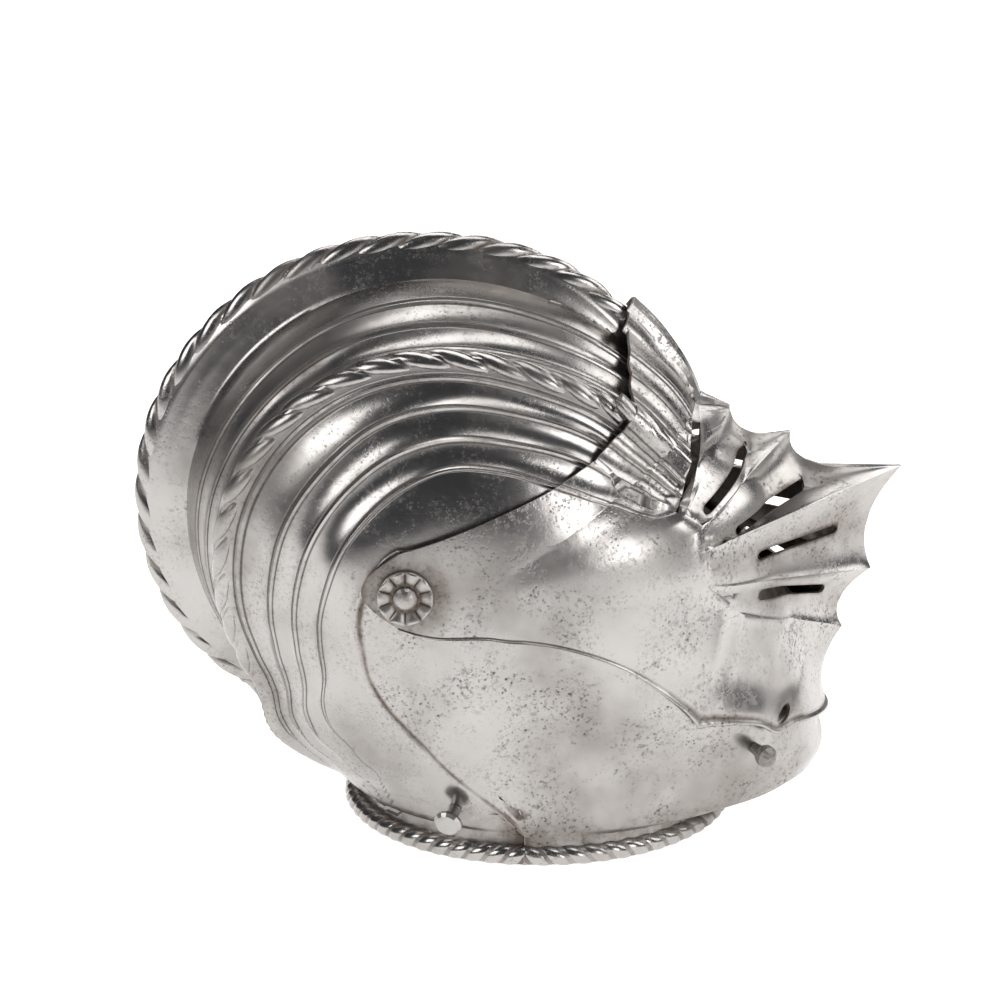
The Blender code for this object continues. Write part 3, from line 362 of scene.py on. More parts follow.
def flute_relief(angle, share):
    """Lift of the flutes, a channel of 4 f (1 - f) between lines and two eased flanks on the
    side comb, and the line coordinate, which is a whole number on each incised line."""
    lines = [smooth_table(FLUTES, angle, column) for column in range(1, 9)]
    fade = 1 - ease((angle - FLUTE_END[0]) / (FLUTE_END[1] - FLUTE_END[0]))
    lift = np.zeros_like(share)
    for inner, outer, depth in ((0, 1, 1.0), (1, 2, 1.0), (2, 3, 1.3), (5, 6, 1.0), (6, 7, 0.9)):
        f = (share - lines[inner]) / (lines[outer] - lines[inner])
        lift = np.where((f > 0) & (f < 1), -FLUTE_DEPTH * depth * 4 * f * (1 - f), lift)
    up = ease((share - lines[3]) / (lines[4] - lines[3]))
    down = 1 - ease((share - lines[4]) / (lines[5] - lines[4]))
    lift = lift + SIDE_COMB_HEIGHT * np.minimum(up, down)
    cut = [lines[i] for i in (0, 1, 2, 3, 5, 6, 7)]
    place = (share - cut[0]) / (cut[1] - cut[0])
    for i in range(1, 6):
        place = np.where(share > cut[i], i + (share - cut[i]) / (cut[i + 1] - cut[i]), place)
    place = np.where(share > cut[6], 6 + (share - cut[6]) / (cut[6] - cut[5]), place)
    place = np.clip(place, -0.5, 6.5)
    whole = np.floor(place) + 0.5
    return lift * fade, whole + (place - whole) * (0.15 + 0.85 * fade)


def grid_quads(numbers):
    """Corner numbers of the quads between the points of a grid."""
    return np.stack([numbers[:-1, :-1], numbers[1:, :-1], numbers[1:, 1:], numbers[:-1, 1:]], axis=-1)


def crest_stations(angle, crest, first):
    """Distances from the hub of the lines that a ray crosses, out to the crest."""
    bowl = bowl_radius(angle)
    rope = comb_rope(angle)
    lines = np.stack([smooth_table(FLUTES, angle, column) for column in range(1, 9)], 1)
    foot = crest - np.maximum(np.maximum(0.88 * (crest - bowl), 0.01), 1.95 * rope + 0.004)
    limits = foot[:, None] - LINE_STEP * np.arange(8, 0, -1)
    lines = np.minimum(lines * bowl[:, None], limits)
    ends = np.stack([foot, crest - np.maximum(1.95 * rope, 0.005), crest], 1)
    return np.concatenate([first[:, None], lines, ends], axis=1)


def faces_of(base, middle, lift, offset):
    """Outer and inner face of a plate: the plain grid moved along its normals."""
    normal = unit(np.cross(np.gradient(base, axis=0), np.gradient(base, axis=1)))
    normal *= -np.sign(normal[len(base) // 2, 3, 1])
    normal[middle, -1, 1] = 0.0
    normal[middle, -1] = unit(normal[middle, -1])
    outer = base + normal * (lift + offset)[..., None]
    inner = base + normal * (lift + offset - WALL)[..., None]
    outer[middle, -1, 1] = 0.0
    inner[middle, -1, 1] = 0.0
    return outer, inner


class Sheet:
    """A plate of quads with an outer and an inner face, closed round every open edge."""

    def __init__(self):
        self.outer, self.inner, self.stain, self.line, self.quads = [], [], [], [], []

    def add_points(self, outer, inner, stain, line=NO_LINE):
        """Adds a grid of points with its patina and painted shade and its line coordinate; returns their
        numbers.
        """
        start = sum(len(block) for block in self.outer)
        self.outer.append(outer.reshape(-1, 3))
        self.inner.append(inner.reshape(-1, 3))
        self.stain.append(np.broadcast_to(stain, outer.shape[:2]).reshape(-1))
        self.line.append(np.broadcast_to(line, outer.shape[:2]).reshape(-1))
        return start + np.arange(outer.shape[0] * outer.shape[1]).reshape(outer.shape[:2])

    def add_quads(self, numbers, flip, keep=None):
        """Adds the quads of a grid of numbers, less those that keep leaves out."""
        quads = grid_quads(numbers)[..., ::-1] if flip else grid_quads(numbers)
        self.quads.append(quads.reshape(-1, 4) if keep is None else quads[keep])

    def both_sides(self, outer, inner, stain, line, middle, flip, keep=None, closed=False):
        """Adds the right half and its mirror image, joined along the middle; a closed half
        goes once round, from its last row on to its first."""
        turn = np.array([1.0, -1.0, 1.0])
        right = self.add_points(outer, inner, stain, line)
        left = self.add_points(outer * turn, inner * turn, stain, line)
        left[middle, -1] = right[middle, -1]
        for half, turned_over in ((right, flip), (left, not flip)):
            self.add_quads(np.concatenate([half, half[:1]]) if closed else half, turned_over, keep)
        return right, left

    def punch(self, centre, radius, stretch=1.0, slant=0.0):
        """Opens a round or oval hole on the right side: quads inside it go, and the points
        round them move onto its edge within the plane that fits them best."""
        outer, inner, quads = (np.concatenate(part) for part in (self.outer, self.inner, self.quads))
        turn = np.array([[math.cos(slant), math.sin(slant)], [-math.sin(slant), math.cos(slant)]])
        size = np.array([radius * stretch, radius])
        off = (outer[:, [0, 2]] - np.asarray(centre)) @ turn.T / size
        far = np.where(outer[:, 1] < 0, np.linalg.norm(off, axis=1), 99.0)
        gone = far[quads].mean(axis=1) < 1.0
        edge = np.intersect1d(quads[gone], quads[~gone])
        near = outer[far < 2.5]
        plane = np.linalg.lstsq(np.c_[near[:, [0, 2]], np.ones(len(near))], near[:, 1], rcond=None)[0]
        move = (off[edge] * (1 / far[edge] - 1)[:, None] * size) @ turn
        for face in (outer, inner):
            face[edge, 0] += move[:, 0]
            face[edge, 2] += move[:, 1]
            face[edge, 1] += move @ plane[:2]
        self.outer, self.inner, self.quads = [outer], [inner], [quads[~gone]]

    def piece(self, name, steel):
        """Walls along the edges that one quad uses close both faces into one mesh; patina and
        painted shade gather along them and over the inner face, darkening the gaps like a shadow."""
        outer, inner = np.concatenate(self.outer), np.concatenate(self.inner)
        quads, count = np.concatenate(self.quads), len(outer)
        edges = np.concatenate([quads[:, [i, (i + 1) % 4]] for i in range(4)])
        edges = edges[edges[:, 0] != edges[:, 1]]
        key = edges.min(axis=1) * count + edges.max(axis=1)
        _, first, number = np.unique(key, return_index=True, return_counts=True)
        rim = edges[first[number == 1]]
        walls = np.stack([rim[:, 1], rim[:, 0], rim[:, 0] + count, rim[:, 1] + count], axis=1)
        faces = np.concatenate([quads, quads[:, ::-1] + count, walls])
        used, compact = np.unique(faces, return_inverse=True)
        # Painted shade: the whole inner face and every open edge get full patina, a dark line that stands
        # in for the shadow in the gaps between plates.
        stain = np.concatenate(self.stain + [np.ones(count)])
        stain[rim.ravel()] = 1.0
        line = np.concatenate(self.line + [np.full(count, NO_LINE)])
        return shaped(name, steel, np.concatenate([outer, inner])[used],
                      compact.reshape(faces.shape), stain[used], line[used])


def shaped(name, steel, points, faces, stain, line=NO_LINE, sharp=38.0):
    """An object from arrays of points and quads, with the patina and painted shade and the line of each
    point.
    """
    mesh = bpy.data.meshes.new(name)
    mesh.vertices.add(len(points))
    mesh.vertices.foreach_set("co", np.asarray(points, np.float32).ravel())
    mesh.loops.add(faces.size)
    mesh.loops.foreach_set("vertex_index", faces.astype(np.int32).ravel())
    mesh.polygons.add(len(faces))
    mesh.polygons.foreach_set("loop_start", np.arange(0, faces.size, faces.shape[1], dtype=np.int32))
    mesh.update(calc_edges=True)
    for key, value in (("patina_and_shade", stain), ("line", line)):
        layer = mesh.attributes.new(key, "FLOAT", "POINT")
        layer.data.foreach_set("value", np.full(len(points), value, np.float32))
    mesh.validate()
    mesh.shade_smooth()
    mesh.set_sharp_from_angle(angle=math.radians(sharp))
    mesh.materials.append(steel)
    return placed(name, mesh)


def seat_on_neck(outer, inner, rows, wall_radius):
    """Sets the last points of some rows on the round wall of the neck."""
    for face, radius in ((outer, wall_radius), (inner, wall_radius - WALL)):
        out = face[rows, -1, :2] - np.array([NECK_X, 0.0])
        turn = np.arctan2(out[:, 1], out[:, 0])
        turn = np.where(np.abs(out[:, 1]) < 1e-6, np.where(out[:, 0] > 0, 0.0, -math.pi), turn)
        face[rows, -1, 0] = NECK_X + radius * np.cos(turn)
        face[rows, -1, 1] = np.minimum(0.0, radius * np.sin(turn))
        face[rows, -1, 2] = NECK_TOP


COLLAR_STEPS = 12


def add_collar(sheet, right, left, rows, wall_radius, flip):
    """Carries the plate's bottom row onto the rim's roll and round it to the table."""
    top_numbers = np.concatenate([right[rows, -1][::-1], left[rows, -1][1:]])
    top = np.concatenate(sheet.outer)[top_numbers]
    turn = np.arctan2(top[:, 1], top[:, 0] - NECK_X)
    centre = RIM_RADIUS - RIM_ROLL
    first = math.acos(max(-0.9, min(0.9, (wall_radius + 0.0006 - centre) / RIM_ROLL)))
    sweep = np.linspace(first, -math.pi / 2, COLLAR_STEPS)
    roll = 0.9 * RIM_ROLL
    down = NECK_TOP - (NECK_TOP - 0.0005) * np.arange(1, COLLAR_STEPS + 1) / COLLAR_STEPS
    rings = []
    for radius, height in ((centre + roll * np.cos(sweep), RIM_ROLL + roll * np.sin(sweep)),
                           (np.full(COLLAR_STEPS, wall_radius - WALL), down)):
        rings.append(np.stack([NECK_X + radius * np.cos(turn)[:, None], radius * np.sin(turn)[:, None],
                               np.broadcast_to(height, (len(turn), COLLAR_STEPS))], axis=-1))
    numbers = sheet.add_points(*rings, 0.5)
    sheet.add_quads(np.concatenate([top_numbers[:, None], numbers], axis=1), flip)


STEEL = (0.49, 0.468, 0.45, 1.0)
STEEL_DULL = (0.3, 0.282, 0.265, 1.0)
# Brown of the patina, which also paints shade along plate edges, in gaps and beside beads.
PATINA_AND_SHADE = (0.085, 0.052, 0.03, 1.0)
DIRT = (0.035, 0.026, 0.02, 1.0)


def worn_steel(name, pits, brown, polish):
    """Polished old steel: cloudy tone and roughness, fine pits where a cell pattern is near
    its centre inside cloudy patches, brown patina and painted shade where the piece's
    points say so (the shade along plate edges, in gaps and beside beads), and a raised
    edge between two cuts wherever the line coordinate is a whole number."""
    material = bpy.data.materials.new(name)
    material.use_nodes = True
    tree = material.node_tree
    shader = tree.nodes["Principled BSDF"]
    start = Link(tree, None)
    at = start.node("TexCoord", out="Object")

    def noise(scale, detail, rough=0.55):
        return start.node("TexNoise", out="Fac", Vector=at, Scale=scale, Detail=detail,
                          Roughness=rough)

    patina_and_shade_mask = start.node("Attribute", {"attribute_name": "patina_and_shade"}, out="Fac")
    place = start.node("Attribute", {"attribute_name": "line"}, out="Fac")
    off = (place - place.maths("ROUND")).maths("ABSOLUTE")
    edge = 1 - off.ramp(0.0, 0.07)
    incised = 1 - (off - 0.1).maths("ABSOLUTE").ramp(0.0, 0.045)
    near_line = 1 - off.ramp(0.05, 0.38)
    cloud = noise(14.0, 4.0)
    patch = noise(38.0, 5.0, 0.65)
    grain = noise(420.0, 4.0, 0.7)
    wave = noise(24.0, 2.0, 0.4)
    fine = start.node("TexVoronoi", out="Distance", Vector=at, Scale=430.0)
    large = start.node("TexVoronoi", out="Distance", Vector=at, Scale=130.0)
    pitted = patch.ramp(0.38, 0.66) * pits
    pit = (1 - fine.ramp(0.1, 0.34)) * pitted
    spot = (1 - large.ramp(0.06, 0.16)) * patch.ramp(0.56, 0.66) * pits
    speckle = grain.ramp(0.48, 0.74) * pitted * 0.9
    # Brown from the point attribute: real patina, plus painted shade along plate edges, in gaps and beside
    # beads.
    stain = ((patina_and_shade_mask * (0.45 + patch.ramp(0.34, 0.66)) + near_line * patch.ramp(0.38, 0.62) * 0.3
              + cloud.ramp(0.48, 0.78) * 0.42) * brown).clamped()
    dark = (pit * 0.75 + speckle + spot + incised * 0.85).clamped()
    tone = (cloud.ramp(0.3, 0.75) * 0.55).clamped().mix(STEEL, STEEL_DULL)
    tone = (dark * 0.8).mix((stain * 0.8).mix(tone, PATINA_AND_SHADE), DIRT)
    rough = (polish + cloud.ramp(0.35, 0.75) * 0.1 + patch * 0.06 + stain * 0.3 + dark * 0.35).clamped()
    metal = (1 - stain * 0.35 - dark * 0.4).clamped()
    height = wave * 1.2 + noise(70.0, 2.0) * 0.25 + grain * 0.05 - dark * 0.2 + edge * 0.45 - incised * 0.45
    bump = start.node("Bump", out="Normal", Strength=0.5, Distance=0.001, Height=height)
    for key, value in (("Base Color", tone), ("Roughness", rough), ("Metallic", metal), ("Normal", bump)):
        tree.links.new(value.socket, shader.inputs[key])
    return material


def clustered(stations, steps, power):
    """Steps between neighbouring stations crowded at both ends: share f to the power over
    f to the power plus one less f to the power."""
    parts = [stations[..., :1]]
    for i, count in enumerate(steps):
        f = np.arange(1, count + 1) / count
        f = f ** power / (f ** power + (1 - f) ** power)
        low = stations[..., i:i + 1]
        parts.append(low + (stations[..., i + 1:i + 2] - low) * f)
    return np.concatenate(parts, axis=-1)


def skull_sheet():
    """Skull: rays from the hub to the comb's crest or to the neck, mirrored."""
    rear = 360 + math.degrees(math.atan2(NECK_TOP - HUB_Z, NECK_X - NECK_RADIUS - HUB_X))
    crest_rays = np.linspace(BROW_ANGLE, rear, CREST_RAYS)
    bend = np.linspace(0, math.acos((NECK_X - RIM_SPLIT_X) / NECK_RADIUS), RIM_RAYS + 1)[1:]
    rim_x = NECK_X - NECK_RADIUS * np.cos(bend)
    rays = np.concatenate([crest_rays, 360 + np.degrees(np.arctan2(NECK_TOP - HUB_Z, rim_x - HUB_X))])
    on_rim = np.arange(len(rays)) >= CREST_RAYS - 1
    middle = np.arange(len(rays)) < CREST_RAYS
    floor = (HUB_Z - NECK_TOP) / np.maximum(1e-6, -np.sin(np.radians(rays)))
    crest = bowl_radius(rays) + comb_rise(rays) - CREST_SUNK * comb_rope(rays) / ROPE_RADIUS
    crest = np.where(on_rim, floor, crest)
    reach = clustered(crest_stations(rays, crest, np.full(len(rays), HUB_OPENING)),
                      (12, 12, 12, 12, 8, 8, 12, 12, 8, 12, 6), 1.7)
    turn = np.arange(1, 7) / 6
    reach[:, -6:] = reach[:, -7:-6] + (reach[:, -1:] - reach[:, -7:-6]) * np.sin(turn * math.pi / 2)
    angle = np.broadcast_to(rays[:, None], reach.shape)
    x, z = polar(HUB_X, HUB_Z, angle, reach)
    half = skull_half_width(x, z)
    half[middle, -1] = 0.0
    edge_x, edge_z = table_points(PIVOT_X, PIVOT_Z, BEVOR_EDGE[:1:-1], SKULL_RADIUS)
    inside = x - np.interp(z, edge_z, edge_x)
    from_pivot = np.hypot(x - PIVOT_X, z - PIVOT_Z)
    sink = (CHEEK_SLOPE * np.maximum(0.0, inside - 0.003) * ease((from_pivot - 0.013) / 0.02)
            * (1 - ease((z - PIVOT_Z) / 0.017)))
    half = half - np.minimum(sink, half)
    lift, line = flute_relief(angle, reach / bowl_radius(angle))
    lift[on_rim] = 0.0
    stain = 0.5 * ease((0.034 - z) / 0.02) + 0.5 * ease((0.03 - from_pivot) / 0.02)
    outer, inner = faces_of(np.stack([x, -half, z], axis=-1), middle, lift, 0.0)
    seat_on_neck(outer, inner, on_rim, NECK_RADIUS)
    sheet = Sheet()
    right, left = sheet.both_sides(outer, inner, stain, line, middle, True)
    add_collar(sheet, right, left, on_rim, NECK_RADIUS, False)
    return sheet


skull_steel = worn_steel("skull_steel", pits=0.5, brown=1.0, polish=0.17)
sheet = skull_sheet()
sheet.punch(LOCK_HOLE, LOCK_HOLE_BEHIND)
skull = sheet.piece("skull_plate", skull_steel)
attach(skull, "skull")
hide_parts("skull")


# Roped edges of the combs and of the neck's rear half. The steel is turned over and filed
# into slanting lobes; here each rope is a piece of its own, sunk into the plate it belongs to.
def lengths_along(points):
    """Length of a line of points up to each of them."""
    return np.concatenate([[0.0], np.cumsum(np.linalg.norm(np.diff(points, axis=0), axis=1))])


def rope(name, path, radius, out, twists, slant, depth, around, oval=1.0):
    """A tube along a path with slanting lobes, between which its radius shrinks by a depth:
    their phase makes some twists along the path and a slant around it."""
    length = lengths_along(path)
    along = unit(np.gradient(path, axis=0))
    out = unit(out - along * np.sum(out * along, axis=1, keepdims=True))
    side = np.cross(along, out)
    turn = np.arange(around) / around * 2 * math.pi
    phase = math.pi * (twists * length[:, None] / length[-1] + slant * turn[None, :] / (2 * math.pi))
    lobe = np.abs(np.sin(phase)) ** 0.7
    filed = 0.1 * (1 - lobe) * np.cos(9 * phase)
    size = radius[:, None] * (1 - depth * (1 - lobe) + depth * filed)
    points = path[:, None] + size[..., None] * (oval * np.cos(turn)[None, :, None] * out[:, None]
                                                + np.sin(turn)[None, :, None] * side[:, None])
    stain = np.clip(1.5 * (0.62 - lobe), 0, 1)
    count = len(path)
    numbers = np.arange(count * around).reshape(count, around)
    ring = np.concatenate([numbers, numbers[:, :1]], axis=1)
    ends = ring[[0, -1]]
    tips = np.broadcast_to(count * around + np.arange(2)[:, None], (2, around // 2))
    caps = np.stack([ends[:, :-1:2], ends[:, 1::2], ends[:, 2::2], tips], axis=-1)
    quads = np.concatenate([grid_quads(ring).reshape(-1, 4), caps[0], caps[1, :, ::-1]])
    points = np.concatenate([points.reshape(-1, 3), path[:1], path[-1:]])
    return shaped(name, rope_steel, points, quads, np.append(stain, [0.0, 0.0]), sharp=60.0)


rope_steel = worn_steel("rope_steel", pits=0.45, brown=1.0, polish=0.16)
COMB_OVAL = 1.5
COMB_ROPE_SUNK = 0.0004
SIDE_ROPE = 0.0056
SIDE_ROPE_OVAL = 0.75
SIDE_ROPE_SUNK = SIDE_ROPE_OVAL * SIDE_ROPE - 0.0008
ROPE_DEPTH = 0.34
RIM_STEPS = 620
RIM_TWISTS = 30.0
RIM_ROPE_DEPTH = 0.22
RIM_GAP = 0.05


def crest_path(first, last, count):
    """Centre line of the middle comb's rope between two angles, and the way outwards."""
    angle = np.linspace(first, last, count)
    size = comb_rope(angle)
    reach = bowl_radius(angle) + comb_rise(angle) - COMB_OVAL * size - COMB_ROPE_SUNK
    way = np.stack([np.cos(np.radians(angle)), np.zeros(count), np.sin(np.radians(angle))], 1)
    return np.array([HUB_X, 0.0, HUB_Z]) + way * reach[:, None], way, size


path, way, size = crest_path(BROW_ANGLE + 6.0, 219.0, 760)
comb_edge = rope("comb_rope", path, np.maximum(size, 0.0012), way, 24.0, 3.0, ROPE_DEPTH, 48, COMB_OVAL)
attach(comb_edge, "skull")


def side_comb_path(first, last, count, offset):
    """Right side comb's line for its rope, raised by an offset, and the way outwards."""
    angle = np.linspace(first, last, count)
    bowl = bowl_radius(angle)
    points = []
    for column in (-1, 0, 1):
        reach = smooth_table(FLUTES, angle, 5) * bowl + 0.001 * column
        x, z = polar(HUB_X, HUB_Z, angle, reach)
        points.append(np.stack([x, -skull_half_width(x, z), z], 1))
    out = np.cross(np.gradient(points[1], axis=0), points[2] - points[0])
    out = unit(out * -np.sign(out[:, 1:2]))
    return points[1] + out * (SIDE_COMB_HEIGHT + offset - SIDE_ROPE_SUNK), out


def side_rope(name, sign, path, out, thin, grown, twists):
    """Rope of a side comb, mirrored by its sign: the radius grows from a thin end's share."""
    turn = np.array([1.0, sign, 1.0])
    size = SIDE_ROPE * (thin + (1 - thin) * ease(grown))
    return rope(name, path * turn, size, out * turn, twists, -2.0 * sign, ROPE_DEPTH, 40, SIDE_ROPE_OVAL)


path, out = side_comb_path(BROW_ANGLE + 8.0, 226.0, 560, 0.0)
for name, sign in (("side_rope_right", 1.0), ("side_rope_left", -1.0)):
    edge = side_rope(name, sign, path, out, 0.35, np.linspace(8.0, 0.0, 560), 19.0)
    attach(edge, "skull")


def rim_path(first, last):
    """Circle of the neck's roll between two angles round the neck's axis."""
    turn = np.radians(np.linspace(first, last, RIM_STEPS))
    way = np.stack([np.cos(turn), np.sin(turn), np.zeros(RIM_STEPS)], 1)
    centre = np.array([NECK_X, 0.0, RIM_ROLL])
    return centre + way * (RIM_RADIUS - RIM_ROLL), way


split = math.degrees(math.acos((RIM_SPLIT_X - NECK_X) / RIM_RADIUS))
path, way = rim_path(split + RIM_GAP, 360 - RIM_GAP - split)
rear_rim = rope("neck_rope_rear", path, np.full(RIM_STEPS, RIM_ROLL), way, RIM_TWISTS, 2.0,
                RIM_ROPE_DEPTH, 32)
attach(rear_rim, "skull")


# Bevor. The plate over chin, cheeks and throat: it hangs on the pivots, laps over the skull
# behind and goes up under the visor in front, and its lower edge is the rope's front half.
BEVOR_TOP = [
    (78, 0.138), (55, 0.165), (30, 0.308), (14, 0.487), (5, 0.679), (-1, 0.833),
    (-6.5, 1.04),
]
PIN_HOLE = 0.0041
SIDE_GAP = 0.0003
# Rays that end on the upper edge, on the chin's middle line, on the neck and on the rear edge
TOP_RAYS, CHIN_RAYS, NECK_RAYS, EDGE_RAYS = 19, 60, 40, 78


def bell(value, centre, width):
    """1 at the centre, falling as a bell curve of that width."""
    return np.exp(-((value - centre) / width) ** 2)


def edge_points(rows, size, count):
    """Points of a smooth edge through a table of degrees and shares round the pivot."""
    spot = np.linspace(0, len(rows) - 1, count)
    degrees, share = (smooth_table([(i, row[k]) for i, row in enumerate(rows)], spot) for k in (0, 1))
    return np.stack(polar(PIVOT_X, PIVOT_Z, degrees, size * share), 1)


def bevor_sheet():
    """Bevor: rays from the pivot's hole to its upper edge, chin, neck and rear edge, which
    has a low bead beside a dark line of dirt and painted shade."""
    chin = np.linspace(-12.0, FACE_SECTION[0][0], CHIN_RAYS)
    chin_ends = np.stack(polar(HUB_X, HUB_Z, chin, bowl_radius(chin)), 1)
    chin_ends[-1] = (NECK_X + NECK_RADIUS, NECK_TOP)
    last = math.acos((RIM_SPLIT_X + SIDE_GAP - NECK_X) / NECK_RADIUS)
    turn = np.linspace(0, last, NECK_RAYS + 1)[1:]
    neck_ends = np.stack([NECK_X + NECK_RADIUS * np.cos(turn), np.full(NECK_RAYS, NECK_TOP)], 1)
    ends = np.concatenate([edge_points(BEVOR_TOP, FACE_REACH, TOP_RAYS), chin_ends, neck_ends,
                           edge_points(BEVOR_EDGE[::-1], SKULL_RADIUS, EDGE_RAYS)])
    rows = np.arange(len(ends))
    neck = TOP_RAYS + CHIN_RAYS
    middle = (rows >= TOP_RAYS) & (rows < neck)
    on_neck = (rows >= neck - 1) & (rows < neck + NECK_RAYS)
    on_edge = rows[:, None] >= neck + NECK_RAYS
    out = ends - np.array([PIVOT_X, PIVOT_Z])
    length = np.linalg.norm(out, axis=1)
    crowd = np.where(middle, 2.0, 1.0)
    crowd[on_neck] = np.linspace(2.0, 1.2, on_neck.sum())
    f = np.linspace(0, 1, 90)[None, :]
    share = 1 - (1 - f) ** (crowd[:, None] + 0.5)
    reach = PIN_HOLE + (length[:, None] - PIN_HOLE) * share
    x = PIVOT_X + out[:, :1] / length[:, None] * reach
    z = PIVOT_Z + out[:, 1:] / length[:, None] * reach
    half = plain_half_width(x, z)
    half[middle, -1] = 0.0
    base = np.stack([x, -half, z], axis=-1)
    wrapped = np.concatenate([base[-1:], base, base[:1]])
    flags = np.concatenate([[False], middle, [False]])
    from_edge = length[:, None] - reach
    bead = np.where(on_edge, 0.0005 * bell(from_edge, 0.0, 0.0016), 0.0)
    lift = np.concatenate([bead[-1:], bead, bead[:1]])
    outer, inner = faces_of(wrapped, flags, lift, LAYER)
    outer, inner = outer[1:-1], inner[1:-1]
    seat_on_neck(outer, inner, on_neck, NECK_RADIUS + LAYER)
    # Dirt and painted shade: a dark line beside the rear edge's bead.
    dark_line = np.where(on_edge, bell(from_edge, 0.003, 0.0015), 0.0)
    stain = 0.5 * ease((0.03 - z) / 0.018) + dark_line
    sheet = Sheet()
    right, left = sheet.both_sides(outer, inner, stain, NO_LINE, middle, False, closed=True)
    add_collar(sheet, right, left, on_neck, NECK_RADIUS + LAYER, True)
    return sheet


bevor_steel = worn_steel("bevor_steel", pits=1.0, brown=0.9, polish=0.19)
sheet = bevor_sheet()
sheet.punch(LOCK_HOLE, LOCK_HOLE_RADIUS)
bevor = sheet.piece("bevor_plate", bevor_steel)
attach(bevor, "bevor")
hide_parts("bevor")

path, way = rim_path(-split + RIM_GAP, split - RIM_GAP)
front_rim = rope("neck_rope_front", path, np.full(RIM_STEPS, RIM_ROLL), way, RIM_TWISTS, -2.0,
                 RIM_ROPE_DEPTH, 32)
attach(front_rim, "bevor")


# Visor. A bellows of five sharp ridges that run out to points on the keel, with breaths
# slit into the valleys, the sight above them and a fluted brow that lies on the skull.
BEAK_REACH = 0.236
BEAK_SPAN = 0.148
SLOT_WIDTH = 0.0046
TAB_BULGE = 0.017
PLEAT_DEPTH = 0.0016
VISOR_LOW = [
    (-0.011, -0.105), (0.047, -0.135), (0.184, -0.143), (0.301, -0.176),
    (0.42, -0.259), (0.5, -0.358), (0.574, -0.48),
]
VISOR_TOP = [
    (-0.011, 0.136), (0.03, 0.155), (0.106, 0.196), (0.182, 0.24),
    (0.252, 0.283), (0.301, 0.32),
]
VISOR_LOW_FRONT = [
    (0, 0), (0.18, -0.022), (0.34, -0.028), (0.46, -0.022), (0.57, 0.006), (0.7, -0.014),
    (0.86, -0.01), (1, 0),
]
BROW_TOP = [
    (0.64, 45.4), (0.7, 45.2), (0.78, 44.6), (0.815, 46.5), (0.865, 50.4),
    (0.91, 53.5), (0.95, 55.8), (0.975, 56.8), (1, 56.2),
]
BROW_LOW = [
    (0.64, 19), (0.72, 20), (0.78, 22.5), (0.83, 25), (0.88, 27.5),
    (0.93, 30), (0.965, 31.5), (1, 32.5),
]
CHEEK_LEAN = 0.67
FRONT_WIDENING = 1.15
HUB_SHARE = 0.35
OFFSET_SHARE = 0.22
STEPS_TO_SIGHT = (0.12, 0.3, 0.55, 0.8, 1.0)
# Ridges from the lowest up, from the pivot in shares of BEAK_REACH and BEAK_SPAN: foot,
# spike, pull on the keel above it, and place between the lower and upper edge of the sides
RIDGES = [
    (0.619, -0.108, 0.886, -0.328, 0.847, -0.232, 0.34),
    (0.576, -0.027, 0.942, -0.128, 0.894, 0.035, 0.44),
    (0.568, 0.08, 0.999, 0.22, 0.754, 0.182, 0.54),
    (0.566, 0.146, 0.772, 0.338, 0.654, 0.293, 0.62),
    (0.536, 0.176, 0.648, 0.424, 0.64, 0.43, 0.68),
]
SLOTS = [
    (0.699, -0.104, 0.844, -0.177), (0.697, 0.017, 0.867, 0.034),
    (0.65, 0.118, 0.798, 0.179), (0.585, 0.199, 0.68, 0.297),
]
SIDE_COLUMNS = 56
LOW_ROWS = 30
LOW_SHARES = np.linspace(0, 1, LOW_ROWS + 1)[:-1] ** 1.5
LOW_EDGE_HEIGHT = 0.04
LOW_KEEL = (0.861, -0.596)
LOW_KEEL_PULL = (0.824, -0.47)
LOW_GROOVE = 0.0028
RIDGE_BEAD = 0.0003
FRONT_STEPS = (20, 36, 32)
FRONT_POWER = 1.35
# Rows of a valley up to its slot, as shares of the way to the next ridge; the slot opens
# after the last of them, and the rows above it mirror them
VALLEY_SHARES = np.array([0.0, 0.02, 0.045, 0.08, 0.13, 0.19, 0.25, 0.31, 0.37, 0.42])
BELOW_SLOT = len(VALLEY_SHARES) - 1
SLOT_ROWS = [LOW_ROWS + BELOW_SLOT + (2 * BELOW_SLOT + 1) * number for number in range(len(SLOTS))]
SLOT_COLUMNS = slice(SIDE_COLUMNS + FRONT_STEPS[0], SIDE_COLUMNS + sum(FRONT_STEPS[:2]))
BROW_ROWS = 46
BROW_STEPS = (10, 12, 6, 6, 12, 12, 8, 14, 8)
BROW_FOOT, BROW_EDGE = sum(BROW_STEPS[:7]), sum(BROW_STEPS[:8])
# Places of the sight's edges between the lower and upper edge of the sides
SIGHT_PLACES = (0.72, 0.76)
# Oval hole for a lost catch at the lower edge: place, radius, stretch and slant
CATCH_HOLE = ((0.1261, 0.0628), 0.0025, 1.6, 1.05)


def beak_point(along, up):
    """A point of the plane of symmetry from the visor's shares."""
    along, up = np.asarray(along), np.asarray(up)
    return np.stack([PIVOT_X + BEAK_REACH * along, PIVOT_Z + BEAK_SPAN * up], axis=-1)


def smooth_line(rows):
    """Points of a smooth line through those of a table, closer together towards its end."""
    points = beak_point(*np.array(rows).T)
    steps = lengths_along(points)
    spot = steps[-1] * (1 - (1 - np.linspace(0, 1, SIDE_COLUMNS + 1)) ** 1.4)
    return np.stack([smooth_table(list(zip(steps, points[:, axis])), spot) for axis in (0, 1)], axis=-1)


def side_rows(place, foot):
    """Part of a row on the smooth sides, from behind the pivot to the foot."""
    low, top = smooth_line(VISOR_LOW), smooth_line(VISOR_TOP)
    line = low * (1 - place) + top * place
    back = np.array([-TAB_BULGE * math.sin(math.pi * place), 0.0])
    s = np.linspace(0, 1, SIDE_COLUMNS + 1)[:, None]
    return line + (foot - line[-1]) * s ** 2 + back * (1 - s) ** 4


